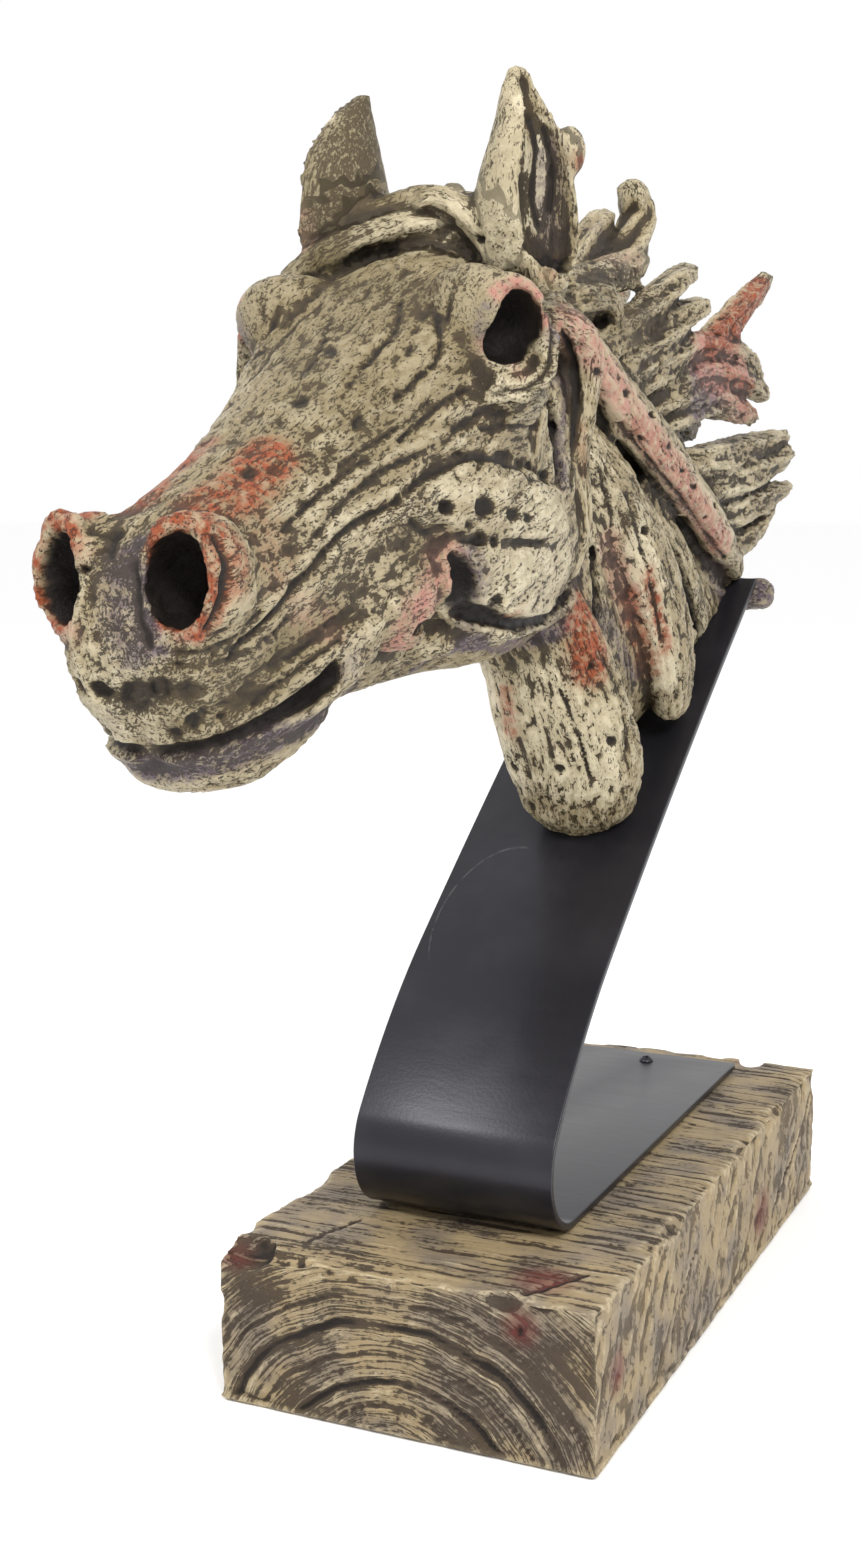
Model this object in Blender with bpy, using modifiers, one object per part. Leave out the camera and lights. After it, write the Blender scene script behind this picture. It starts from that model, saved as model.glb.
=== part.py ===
"""Resin horse head on a bent steel strap, screwed to a block of cast timber.

Metres, +Z up.  The origin is the middle of the block's underside, the horse looks along -Y
and +X is its left side.  The block, the strap and the screw have sizes of their own.  The
head is a free form: its carving is placed in a canon, a scheme of parts like the ones that
figure carvers use, in which the head is CANON_HEIGHT parts high.  The canon is hung on the
top end of the strap, so the head follows the stand.
"""

import math

import bmesh
import bpy
from mathutils import Matrix, Vector, noise
from mathutils.bvhtree import BVHTree

# Clearance between pieces that touch
GAP = 0.0003

# Block of cast timber
BLOCK_WIDTH = 0.150
BLOCK_LENGTH = 0.316
BLOCK_HEIGHT = 0.0604
BLOCK_CELL = 0.024           # spacing of the points that the weathering moves
BLOCK_WEAR = 0.0016          # how far the weathered sides dip below the true faces
BLOCK_ARRIS = 0.0009         # how far the worn edges draw back
RING_SPACING = 0.012         # growth rings on the front end
RING_DEPTH = 0.0022
RING_COUNT = 3
FIRST_RING_RADIUS = 0.045
PITH_OFFSET = 0.002          # middle of the rings, to the right of the block's middle
PITH_DEPTH = 0.020           # and below the underside

# Places where the top edge of the block is broken away: share of the half width, share of
# the half length, then how far the break reaches along X, Y and Z
BLOCK_CHIPS = (
    (-0.86, -0.96, 0.011, 0.013, 0.0085),
    (-0.10, -1.00, 0.036, 0.007, 0.0042),
    (0.50, -1.00, 0.013, 0.010, 0.0080),
    (-0.52, 1.00, 0.010, 0.008, 0.0050),
    (0.56, 1.00, 0.012, 0.012, 0.0060),
)

# Bent steel strap
STRAP_WIDTH = 0.080
STRAP_THICKNESS = 0.0030
BEND_RADIUS = 0.0253         # outer face of the tight front bend
KNEE_RADIUS = 0.29           # easing of the rising leg just above the bend
LEG_RADIUS = 3.2             # the rest of the rising leg is almost straight
BEND_EXIT = math.radians(52.0)  # slope of the leg where it leaves the bend
KNEE_EXIT = math.radians(36.3)
LEG_LENGTH = 0.245           # rising leg past the knee
FOOT_LENGTH = 0.2225         # flat leg on the block, to the start of the bend
FOOT_END_INSET = 0.0235      # from the block's back face to the end of the flat leg
BEND_STEPS = 20
KNEE_STEPS = 6
LEG_STEPS = 8

# Wood screw that holds the flat leg
SCREW_HEAD_DIAMETER = 0.0066
SCREW_HEAD_HEIGHT = 0.0022
SCREW_DOME_POWER = 1.6       # how flat the dome is
SCREW_SHANK_DIAMETER = 0.0034
SCREW_LENGTH = 0.026
SCREW_POINT = 0.0073         # length of the point
SCREW_FROM_END = 0.0140      # from the end of the flat leg to the screw
SCREW_SLOT_WIDTH = 0.0009
SCREW_SLOT_DEPTH = 0.0011
SCREW_SLOT_TURN = 0.5        # radians
BORE_SPARE = 0.002           # the bore's spare length at each end

# Head
HEAD_HEIGHT = 0.296          # ear tips to the lowest point of the throat
LOBE_LENGTH = 0.014          # resin left behind the top end of the strap
HEAD_TRIANGLES = 7900

# The canon: lengths in parts, angles in radians
CANON_HEIGHT = 296.0
PART = HEAD_HEIGHT / CANON_HEIGHT
SEAT = Vector((0.0, 151.8, 294.6))       # the strap's top end
SEAT_SLOPE = math.radians(31.9)          # of the rising leg there
SKULL_ORIGIN = Vector((0.0, -150.0, 345.0))
SKULL_PITCH = math.radians(17.0)         # the skull's own axis looks down by this much
SKIN_VOXEL = 1.8
HOLLOW_VOXEL = 1.2
SOFTENING_STEPS = 2                      # passes that take the steps off the skin
EYE = Vector((45.5, -171.5, 384.0))
EYE_FACING = Vector((0.76, -0.64, 0.1)).normalized()
EYE_TURN = -40.0                         # degrees about Z from +X to where the eye looks
NOSTRIL = (16.5, 174.0, 17.0)            # across, forward and up on the skull
NOSTRIL_FACING = Vector((0.36, -0.93, 0.0)).normalized()
EAR_FACING = Vector((0.93, -0.36, 0.1)).normalized()
EAR_FOOT = 411.0
EAR_TIP = 472.5
EAR_WALL = 4.5                           # thickness left round the hollow of an ear
EAR_HOLLOW_SHARE = 0.74                  # how far out the hollow lies, in half widths
MANE_ROOT = 20.0                         # where the locks leave the neck, across
LOCK_FLATNESS = 0.85
TIP_SHARE = 0.55                         # a strand's end is drawn in to this share

# Share of the ear's height, distance from the middle of the head, y, half width
LEFT_EAR = (
    (-0.15, 34.0, -125, 12.0), (0.0, 34.0, -126, 17.0), (0.28, 33.5, -127, 18.0),
    (0.48, 33.5, -127, 16.0), (0.66, 32.5, -127, 12.0), (0.82, 31.0, -128, 7.5),
    (0.94, 30.5, -129, 4.0), (0.99, 29.5, -130, 2.0),
)
RIGHT_EAR = (
    (-0.15, 34.0, -126, 12.0), (0.0, 36.0, -128, 18.0), (0.24, 37.0, -129, 20.0),
    (0.43, 36.0, -129, 19.5), (0.60, 34.0, -128, 15.5), (0.76, 31.0, -127, 10.0),
    (0.87, 28.0, -126, 5.0), (0.92, 26.0, -125, 2.2),
)

COLLECTION = "resin_horse_head_sculpture"


def clear_scene():
    for item in list(bpy.data.objects):
        bpy.data.objects.remove(item, do_unlink=True)


def collection(name):
    made = bpy.data.collections.new(name)
    bpy.context.scene.collection.children.link(made)
    return made


def material(name, colour, roughness, metallic=0.0):
    made = bpy.data.materials.new(name)
    made.use_nodes = True
    shader = made.node_tree.nodes["Principled BSDF"]
    shader.inputs["Base Color"].default_value = (*colour, 1.0)
    shader.inputs["Roughness"].default_value = roughness
    shader.inputs["Metallic"].default_value = metallic
    made.diffuse_color = (*colour, 1.0)
    return made


def object_from(bm, name, home, finish=None):
    """A new object in the given collection that holds the bmesh, which is freed."""
    mesh = bpy.data.meshes.new(name)
    bm.to_mesh(mesh)
    bm.free()
    made = bpy.data.objects.new(name, mesh)
    home.objects.link(made)
    if finish:
        mesh.materials.append(finish)
    return made


def as_cutter(made):
    made.hide_render = True
    made.display_type = "WIRE"
    return made


def boolean(target, cutter, solver="EXACT"):
    step = target.modifiers.new(cutter.name, "BOOLEAN")
    step.operation = "DIFFERENCE"
    step.solver = solver
    step.object = cutter
    return step


def applied(target):
    """The object's evaluated mesh takes the place of its mesh and its modifiers."""
    bpy.context.view_layer.update()
    shown = target.evaluated_get(bpy.context.evaluated_depsgraph_get())
    mesh = bpy.data.meshes.new_from_object(shown)
    target.modifiers.clear()
    target.data = mesh
    return target


# Stand: strap


class Strap:
    """The outer face of the strap in the YZ plane, from its foot's end to its top end."""

    def __init__(self):
        self.foot_end = BLOCK_LENGTH / 2 - FOOT_END_INSET
        self.floor = BLOCK_HEIGHT + GAP
        self.bend_start = self.foot_end - FOOT_LENGTH
        self.points = [(self.foot_end, self.floor), (self.bend_start, self.floor)]
        self.heading = math.pi
        self.arc(BEND_RADIUS, BEND_EXIT, BEND_STEPS)
        self.arc(KNEE_RADIUS, KNEE_EXIT, KNEE_STEPS)
        self.arc(LEG_RADIUS, KNEE_EXIT - LEG_LENGTH / LEG_RADIUS, LEG_STEPS)
        self.top = Vector((0.0, *self.points[-1]))

    def arc(self, radius, exit_heading, steps):
        """Turns towards the back, from the present heading to the next."""
        y, z = self.points[-1]
        centre = (y + radius * math.sin(self.heading), z - radius * math.cos(self.heading))
        for step in range(1, steps + 1):
            turn = self.heading + (exit_heading - self.heading) * step / steps
            self.points.append((centre[0] - radius * math.sin(turn),
                                centre[1] + radius * math.cos(turn)))
        self.heading = exit_heading

    def offset(self, distance, first=0):
        """The path moved off the outer face, away from the steel."""
        moved = []
        for index in range(first, len(self.points)):
            before = Vector(self.points[max(index - 1, 0)])
            after = Vector(self.points[min(index + 1, len(self.points) - 1)])
            along = (after - before).normalized()
            outward = Vector((-along.y, along.x))
            moved.append(Vector(self.points[index]) + outward * distance)
        return moved


def make_strap(strap, home, finish):
    bm = bmesh.new()
    outer = [bm.verts.new((-STRAP_WIDTH / 2, y, z)) for y, z in strap.points]
    edges = [bm.edges.new(pair) for pair in zip(outer, outer[1:])]
    swept = bmesh.ops.extrude_edge_only(bm, edges=edges)["geom"]
    across = [item for item in swept if isinstance(item, bmesh.types.BMVert)]
    bmesh.ops.translate(bm, verts=across, vec=(STRAP_WIDTH, 0, 0))
    bmesh.ops.recalc_face_normals(bm, faces=bm.faces[:])
    made = object_from(bm, "stand_strap", home, finish)
    thick = made.modifiers.new("plate", "SOLIDIFY")
    thick.thickness = STRAP_THICKNESS
    thick.offset = strap_side(made, strap)
    thick.use_even_offset = True
    return made


def strap_side(made, strap):
    """Solidify grows along the normal or against it: the steel lies inside the bend."""
    inside = Vector((0.0, strap.bend_start, strap.floor + BEND_RADIUS))
    front = min(made.data.polygons, key=lambda face: face.center.y)
    outward = (front.center - inside).dot(front.normal) > 0
    return -1.0 if outward else 1.0


# Stand: screw


def turned(name, profile, home, finish, steps=20):
    """A profile in the XZ plane turned about Z, from the top down its outer side."""
    bm = bmesh.new()
    line = [bm.verts.new((x, 0, z)) for x, z in profile]
    for pair in zip(line, line[1:]):
        bm.edges.new(pair)
    made = object_from(bm, name, home, finish)
    turn = made.modifiers.new("turned", "SCREW")
    turn.steps = steps
    turn.render_steps = steps
    turn.use_merge_vertices = True
    turn.merge_threshold = 0.00005
    return made


def screw_place(strap):
    return Vector((0.0, strap.foot_end - SCREW_FROM_END, strap.floor + STRAP_THICKNESS))


def make_screw(strap, home, cutters, finish):
    head = SCREW_HEAD_DIAMETER / 2
    shank = SCREW_SHANK_DIAMETER / 2
    quarter = [math.radians(step * 15) for step in range(7)]
    profile = [(head * math.sin(turn), SCREW_HEAD_HEIGHT * math.cos(turn) ** SCREW_DOME_POWER + GAP)
               for turn in quarter]
    profile += [(shank, GAP), (shank, SCREW_POINT - SCREW_LENGTH), (0.0, -SCREW_LENGTH)]
    made = turned("strap_screw", profile, home, finish)
    made.location = screw_place(strap)
    for name, turn in (("slot_along", 0.0), ("slot_across", math.pi / 2)):
        bm = bmesh.new()
        bmesh.ops.create_cube(bm, size=1.0)
        size = (head * 1.1, SCREW_SLOT_WIDTH, SCREW_SLOT_DEPTH * 2)
        bmesh.ops.scale(bm, verts=bm.verts, vec=size)
        spin = Matrix.Rotation(turn + SCREW_SLOT_TURN, 3, "Z")
        bmesh.ops.rotate(bm, verts=bm.verts, matrix=spin)
        top = Vector((0.0, 0.0, SCREW_HEAD_HEIGHT + GAP))
        bmesh.ops.translate(bm, verts=bm.verts, vec=made.location + top)
        boolean(made, as_cutter(object_from(bm, name, cutters)))
    return made


def screw_bore(name, strap, cutters):
    """Clearance for the shank, through the strap and down into the block."""
    bm = bmesh.new()
    depth = SCREW_LENGTH + 2 * BORE_SPARE
    radius = SCREW_SHANK_DIAMETER / 2 + GAP
    bmesh.ops.create_cone(bm, cap_ends=True, segments=16, radius1=radius, radius2=radius,
                          depth=depth)
    middle = screw_place(strap) + Vector((0.0, 0.0, BORE_SPARE - depth / 2))
    bmesh.ops.translate(bm, verts=bm.verts, vec=middle)
    return as_cutter(object_from(bm, name, cutters))


# Block


def wear(point, seed):
    """Weathering between 0 and 1, running with the grain, which lies along X on the top."""
    stretched = Vector((point.x * 22, point.y * 48, point.z * 40 + seed))
    return 0.5 + 0.5 * noise.noise(stretched)


def make_block(strap, home, cutters, finish):
    size = Vector((BLOCK_WIDTH, BLOCK_LENGTH, BLOCK_HEIGHT))
    bm = bmesh.new()
    bmesh.ops.create_cube(bm, size=1.0)
    bmesh.ops.scale(bm, verts=bm.verts, vec=size)
    bmesh.ops.translate(bm, verts=bm.verts, vec=(0, 0, size.z / 2))
    for axis in range(3):
        edges = [e for e in bm.edges
                 if abs(abs(e.verts[0].co[axis] - e.verts[1].co[axis]) - size[axis]) < 1e-6]
        cuts = round(size[axis] / BLOCK_CELL) - 1
        bmesh.ops.subdivide_edges(bm, edges=edges, cuts=cuts, use_grid_fill=True)
    for vert in bm.verts:
        weather(vert, size)
    made = object_from(bm, "base_block", home, finish)
    for cutter in block_cutters(strap, cutters):
        boolean(made, cutter)
    return made


def weather(vert, size):
    """Draws a point of the block's sides and top edges inwards; the underside stays flat."""
    start = vert.co.copy()
    sides = [axis for axis in (0, 1) if abs(abs(start[axis]) - size[axis] / 2) < 1e-6]
    top = abs(start.z - size.z) < 1e-6
    corner = len(sides) + top - 1
    for axis in sides:
        dip = BLOCK_WEAR * wear(start, axis * 3.1) + BLOCK_ARRIS * corner
        vert.co[axis] -= math.copysign(dip, start[axis])
    if top and sides:
        vert.co.z -= BLOCK_WEAR * wear(start, 9.0) + BLOCK_ARRIS * corner


def block_cutters(strap, cutters):
    front = -BLOCK_LENGTH / 2
    made = [screw_bore("block_bore", strap, cutters)]
    for index in range(RING_COUNT):
        radius = FIRST_RING_RADIUS + index * RING_SPACING
        bm = bmesh.new()
        ring_tube(bm, Vector((-PITH_OFFSET, front, -PITH_DEPTH)), radius, RING_DEPTH)
        made.append(as_cutter(object_from(bm, "growth_ring_%d" % index, cutters)))
    for index, (across, along, *reach) in enumerate(BLOCK_CHIPS):
        bm = bmesh.new()
        middle = (across * BLOCK_WIDTH / 2, along * BLOCK_LENGTH / 2, BLOCK_HEIGHT)
        place = Matrix.Translation(middle) @ Matrix.Diagonal((*reach, 1.0))
        bmesh.ops.create_icosphere(bm, subdivisions=2, radius=1.0, matrix=place)
        made.append(as_cutter(object_from(bm, "edge_chip_%d" % index, cutters)))
    return made


def ring_tube(bm, centre, radius, thickness, major=30, minor=5):
    """A torus in the XZ plane, made by spinning a small circle about Y."""
    ring = bmesh.ops.create_circle(bm, segments=minor, radius=thickness,
                                   matrix=Matrix.Translation((radius, 0, 0)))["verts"]
    edges = list({edge for vert in ring for edge in vert.link_edges})
    bmesh.ops.spin(bm, geom=edges + ring, cent=(0, 0, 0), axis=(0, 1, 0), dvec=(0, 0, 0),
                   angle=math.tau, steps=major, use_merge=True, use_duplicate=False)
    bmesh.ops.recalc_face_normals(bm, faces=bm.faces[:])
    bmesh.ops.translate(bm, verts=bm.verts, vec=centre)


# Head: tools for free forms, all in canon parts


def skull_point(x, forward, up):
    """A point of the skull: across, towards the muzzle and towards the brow."""
    cosine = math.cos(SKULL_PITCH)
    sine = math.sin(SKULL_PITCH)
    return SKULL_ORIGIN + Vector((x, -forward * cosine - up * sine, -forward * sine + up * cosine))


def power(value, exponent):
    return math.copysign(abs(value) ** exponent, value)


def closed_loop(bm, ring):
    """The edges of one closed ring of points."""
    verts = [bm.verts.new(point) for point in ring]
    return [bm.edges.new((verts[index - 1], verts[index])) for index in range(len(verts))]


def rings_to_skin(bm, rings):
    """Bridges closed rings of points and caps the two ends."""
    loops = [closed_loop(bm, ring) for ring in rings]
    for one, two in zip(loops, loops[1:]):
        bmesh.ops.bridge_loops(bm, edges=one + two)
    for loop in (loops[0], loops[-1]):
        bmesh.ops.contextual_create(bm, geom=loop)


def loft(bm, sections, place, sides=36, steps=3):
    """Sections are (station, top, level, bottom, half width, fullness above, below)."""
    rings = []
    for station, top, level, bottom, half, above, below in smooth_path(sections, steps):
        ring = []
        for step in range(sides):
            angle = math.tau * step / sides
            across = math.cos(angle)
            rise = math.sin(angle)
            full = above if rise > 0 else below
            span = (top - level) if rise > 0 else (level - bottom)
            x = half * power(across, 2.0 / full)
            ring.append(place(x, station, level + span * power(rise, 2.0 / full)))
        rings.append(ring)
    rings_to_skin(bm, rings)


def smooth_path(points, steps):
    """Catmull-Rom curve through the points, any number of values each."""
    ends = [[2 * a - b for a, b in zip(points[0], points[1])],
            [2 * a - b for a, b in zip(points[-1], points[-2])]]
    padded = [ends[0]] + [list(p) for p in points] + [ends[1]]
    path = []
    for index in range(1, len(padded) - 2):
        p0, p1, p2, p3 = padded[index - 1:index + 3]
        for step in range(steps):
            t = step / steps
            path.append([0.5 * (2 * b + (c - a) * t + (2 * a - 5 * b + 4 * c - d) * t * t
                                + (3 * b - a - 3 * c + d) * t ** 3)
                         for a, b, c, d in zip(p0, p1, p2, p3)])
    path.append(list(points[-1]))
    return path


def frames(path, outward):
    """For each point of a path: its place, its direction, and the side that faces outward."""
    last = len(path) - 1
    found = []
    for index, point in enumerate(path):
        before = Vector(path[max(index - 1, 0)][:3])
        after = Vector(path[min(index + 1, last)][:3])
        along = (after - before).normalized()
        normal = outward - along * outward.dot(along)
        if normal.length < 0.05:
            normal = along.orthogonal()
        found.append((Vector(point[:3]), along, normal.normalized()))
    return found


def strand(bm, points, face=(1.0, 0.0, 0.0), flat=1.0, twist=0.0, sides=12, steps=4):
    """A tapered strand through points (x, y, z, half width).

    face is the side that it turns outwards, flat its thickness as a share of its width, and
    twist turns it about its own length, in degrees from one end to the other.
    """
    path = smooth_path(points, steps)
    last = len(path) - 1
    rings = []
    for index, (centre, along, normal) in enumerate(frames(path, Vector(face).normalized())):
        half = path[index][3]
        normal = Matrix.Rotation(math.radians(twist) * index / last, 3, along) @ normal
        side = along.cross(normal)
        ring = []
        for step in range(sides):
            angle = math.tau * step / sides
            ring.append(centre + side * (half * math.cos(angle))
                        + normal * (half * flat * math.sin(angle)))
        if index not in (0, last):
            rings.append(ring)
            continue
        ahead = along * (half * TIP_SHARE * (1 if index else -1))
        tip = [centre + ahead + (point - centre) * TIP_SHARE for point in ring]
        rings.extend([ring, tip] if index else [tip, ring])
    rings_to_skin(bm, rings)


def rope(bm, points, cords, turns, half):
    """Cords wound round a path through points (x, y, z, how far they lie from it)."""
    path = smooth_path(points, 3)
    last = len(path) - 1
    for cord in range(cords):
        wound = []
        for index, (centre, along, normal) in enumerate(frames(path, Vector((0.0, -0.6, 0.8)))):
            angle = math.tau * (cord / cords + turns * index / last)
            side = along.cross(normal)
            away = normal * math.cos(angle) + side * math.sin(angle)
            wound.append((*(centre + away * path[index][3]), half))
        strand(bm, wound, sides=10, steps=1)


def lump(bm, centre, radii, turn=(0.0, 0.0, 0.0), detail=3):
    """An ellipsoid with its radii along X, Y and Z, turned by degrees about X, Y and Z."""
    angles = [math.radians(value) for value in turn]
    spin = (Matrix.Rotation(angles[2], 4, "Z") @ Matrix.Rotation(angles[1], 4, "Y")
            @ Matrix.Rotation(angles[0], 4, "X"))
    place = Matrix.Translation(centre) @ spin @ Matrix.Diagonal((*radii, 1.0))
    bmesh.ops.create_icosphere(bm, subdivisions=detail, radius=1.0, matrix=place)


def hoop(bm, centre, facing, wide, high, thick, start=0.0, sweep=360.0, sides=10):
    """A rim bent round an ellipse that faces along a direction, open or closed."""
    right = Vector((0, 0, 1)).cross(facing).normalized()
    up = facing.cross(right)
    count = max(8, round(sweep / 12))
    closed = sweep >= 360.0
    rings = []
    for step in range(count + (0 if closed else 1)):
        turn = math.radians(start + sweep * step / count)
        spoke = right * (wide * math.cos(turn)) + up * (high * math.sin(turn))
        outward = spoke.normalized()
        around = [math.tau * side / sides for side in range(sides)]
        rings.append([centre + spoke + outward * (thick * math.cos(angle))
                      + facing * (thick * math.sin(angle)) for angle in around])
    if not closed:
        rings_to_skin(bm, rings)
        return
    loops = [closed_loop(bm, ring) for ring in rings]
    for index, loop in enumerate(loops):
        bmesh.ops.bridge_loops(bm, edges=loops[index - 1] + loop)


class Surface:
    """The skin of a cast piece in canon parts, for carving that has to lie on it."""

    def __init__(self, made, place):
        back = place.inverted()
        verts = [back @ vert.co for vert in made.data.vertices]
        faces = [tuple(face.vertices) for face in made.data.polygons]
        self.tree = BVHTree.FromPolygons(verts, faces)

    def pressed(self, points, sunk):
        """Each point moves to the nearest place on the skin, and then under it."""
        moved = []
        for x, y, z, half in points:
            place, normal, _, _ = self.tree.find_nearest(Vector((x, y, z)))
            moved.append((*(place - normal * sunk), half))
        return moved


# Head: the masses that the carving lies on


def skull_form(bm):
    skull = (
        # station, top, level, bottom, half width, fullness above and below
        (-92, 30, -30, -52, 16, 2.0, 2.0),
        (-82, 46, -30, -66, 29, 2.0, 2.2),
        (-58, 58, -28, -78, 37, 2.1, 2.3),
        (-30, 63, -22, -80, 40, 2.3, 2.4),
        (0, 61, 10, -72, 42, 2.7, 2.4),
        (30, 54, 8, -58, 39, 2.8, 2.2),
        (60, 47, 2, -46, 34, 2.7, 2.2),
        (95, 39, -2, -34, 29, 2.5, 2.4),
        (125, 34, 0, -30, 26, 2.3, 2.4),
        (148, 31, 6, -31, 26, 2.2, 2.3),
        (164, 28, 8, -32, 25, 2.2, 2.3),
        (175, 23, 4, -29, 22, 2.2, 2.3),
        (182, 13, -2, -21, 17, 2.2, 2.2),
        (186, 4, -5, -13, 11, 2.0, 2.0),
    )
    loft(bm, skull, skull_point)
    jaw = (
        (-70, -40, -58, -76, 20, 2.0, 2.0),
        (-50, -34, -60, -86, 28, 2.0, 2.2),
        (-14, -28, -56, -80, 29, 2.0, 2.2),
        (30, -20, -44, -66, 24, 2.0, 2.2),
        (70, -16, -38, -56, 19, 2.0, 2.2),
        (96, -22, -38, -51, 17, 2.0, 2.2),
        (116, -29, -40, -53, 20, 2.0, 2.4),
        (145, -29, -41, -52, 21, 2.2, 2.4),
        (164, -28, -38, -47, 17, 2.2, 2.2),
        (174, -30, -36, -41, 10, 2.0, 2.0),
    )
    loft(bm, jaw, skull_point)


def brow_form(bm):
    """The socket that stands out from the side, and the slope from it down to the nose."""
    lump(bm, (31, -163, 385), (20, 27, 19), (-20, 0, 14))
    lump(bm, (33, -154, 371), (18, 25, 22), (0, 0, 10))
    slope = [(31, -166, 387, 13), (27, -194, 372, 11), (21, -224, 356, 8), (18, -250, 345, 5)]
    strand(bm, slope, (0.8, -0.1, 0.6), 0.7)


def cheek_form(bm):
    lump(bm, (29, -128, 314), (15, 64, 27), (8, 0, 3))
    lump(bm, (30, -160, 316), (13, 40, 23), (10, 0, 5))
    # front muscle of the cheek, down to the corner of the mouth
    muscle = [(19, -252, 300, 9), (22, -230, 302, 15), (25, -207, 303, 18), (25, -199, 304, 13)]
    strand(bm, muscle, (1, 0, 0), 0.6)


def muzzle_form(bm):
    lump(bm, skull_point(15, 162, 13), (14, 20, 17), (0, 0, 12))
    hoop(bm, skull_point(*NOSTRIL), NOSTRIL_FACING, 9.0, 13.0, 3.6)
    lip = [(4, -312, 268, 6), (15, -301, 269, 7), (21, -276, 275, 7), (24, -250, 283, 6)]
    strand(bm, lip, (1, 0, 0), 0.8)


def neck_form(bm):
    core = (
        (-118, 412, 360, 300, 24, 2.2, 2.2),
        (-90, 408, 350, 285, 29, 2.2, 2.2),
        (-50, 395, 330, 262, 31, 2.2, 2.2),
        (-10, 376, 305, 225, 30, 2.2, 2.2),
        (40, 354, 290, 225, 29, 2.2, 2.2),
        (90, 330, 285, 245, 29, 2.2, 2.2),
        (130, 313, 285, 265, 29, 2.2, 2.2),
        (158, 301, 286, 274, 27, 2.2, 2.2),
        (165, 294, 286, 278, 20, 2.0, 2.0),
    )
    loft(bm, core, lambda x, station, height: Vector((x, station, height)))
    # throat slab that comes down on the strap
    throat = [(8, -70, 300, 19), (10, -50, 277, 24), (10, -30, 252, 27.5), (10, -12, 228, 28.5),
              (7, 2, 207, 24)]
    strand(bm, throat, (0.2, -0.9, -0.2), 0.6, sides=16)
    # bed of the mane, between its two rows of locks
    bed = (
        (-96, 412, 380, 330, 18, 2.2, 2.2),
        (-60, 416, 380, 330, 23, 2.2, 2.2),
        (-20, 415, 375, 320, 23, 2.2, 2.2),
        (20, 409, 365, 310, 23, 2.2, 2.2),
        (60, 398, 350, 300, 22, 2.2, 2.2),
        (100, 378, 335, 292, 21, 2.2, 2.2),
        (140, 350, 318, 290, 18, 2.2, 2.2),
        (168, 328, 306, 288, 13, 2.0, 2.0),
    )
    loft(bm, bed, lambda x, station, height: Vector((x, station, height)))


def neck_slabs(bm):
    """Long slabs that lie on each side of the neck and run down to the strap."""
    second = [(27, -58, 352, 12), (31, -26, 330, 16), (33, 8, 302, 18), (33, 38, 268, 17),
              (31, 54, 246, 13)]
    strand(bm, second, (1, -0.15, 0), 0.6, sides=14)
    third = [(26, 10, 334, 10), (29, 55, 306, 13), (29, 90, 278, 13)]
    strand(bm, third, (1, 0, 0), 0.5, sides=14)
    crest = [(28, -92, 397, 7), (30, -62, 382, 11), (31, -30, 366, 13), (32, 10, 351, 14),
             (31, 60, 333, 13), (30, 108, 315, 12), (28, 150, 300, 8)]
    strand(bm, crest, (1, 0, 0.45), 0.6, sides=14)
    # roll of resin behind the strap's top end
    roll = [(14, 158, 289, 8), (30, 160, 287, 8.5), (42, 161, 286.5, 8)]
    strand(bm, roll, (0, 1, 0), sides=14)


# Head: carving that lies on the masses


def relief_forms(bm, skin):
    # plate below the eye, pointed towards the nose
    plate = [(41, -240, 328, 3), (41, -222, 330, 8), (42, -198, 331, 11), (43, -160, 331, 12.5),
             (43, -126, 328, 11), (42, -108, 326, 6)]
    strand(bm, skin.pressed(plate, 0.5), (1, -0.15, 0.15), 0.5)
    # ridge that runs from behind the eye down the back of the cheek
    ridge = [(38, -108, 403, 5), (40, -92, 390, 7.5), (41, -79, 372, 8.5), (41, -74, 350, 8.5),
             (41, -75, 322, 8), (40, -82, 302, 6)]
    strand(bm, skin.pressed(ridge, 2.5), (1, 0, 0), 0.9)
    # band of skin between the eye and that ridge
    band = [(47, -146, 398, 3.5), (48, -140, 380, 5), (47, -134, 362, 6), (46, -130, 346, 5)]
    strand(bm, skin.pressed(band, 2.0), (1, 0, 0), 0.8)
    # edge of the lower jaw
    edge = [(24, -216, 277, 5), (32, -188, 279, 6.5), (36, -150, 279, 7.5), (39, -110, 279, 8.5),
            (40, -82, 285, 8.5), (39, -66, 297, 6)]
    strand(bm, skin.pressed(edge, 4.0), (1, 0, 0), 0.9)
    # lids: a thick rim above and behind the eye, a rolled fold below and behind it
    hoop(bm, EYE, EYE_FACING, 12.0, 14.5, 3.8, start=-30, sweep=150)
    hoop(bm, EYE - EYE_FACING + Vector((0, 0, -4)), EYE_FACING, 14.5, 16.0, 4.6,
         start=-120, sweep=130)


def ear_spine(spine, side, outward=0.0):
    """The middle line of an ear, moved outward by a share of its half width."""
    found = []
    for share, across, y, half in spine:
        spot = Vector((side * across, y, EAR_FOOT + (EAR_TIP - EAR_FOOT) * share))
        facing = Vector((side * EAR_FACING.x, EAR_FACING.y, EAR_FACING.z))
        found.append((spot + facing * half * outward, half))
    return found


def ear_form(bm, spine, side):
    points = [(*spot, half) for spot, half in ear_spine(spine, side)]
    facing = (side * EAR_FACING.x, EAR_FACING.y, EAR_FACING.z)
    strand(bm, points, facing, 0.95, sides=16, steps=3)


def ear_hollow(bm, spine, side):
    inner = ear_spine(spine, side, outward=EAR_HOLLOW_SHARE)[1:-1]
    points = [(*spot, max(half - EAR_WALL, half * 0.5)) for spot, half in inner]
    facing = (side * EAR_FACING.x, EAR_FACING.y, EAR_FACING.z)
    strand(bm, points, facing, 1.15, sides=14, steps=3)


def ear_knob(bm):
    """A knob on the back rim of the left ear."""
    lump(bm, (43.5, -115, 446), (6, 6, 9), (-12, 0, 0), detail=2)


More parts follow.
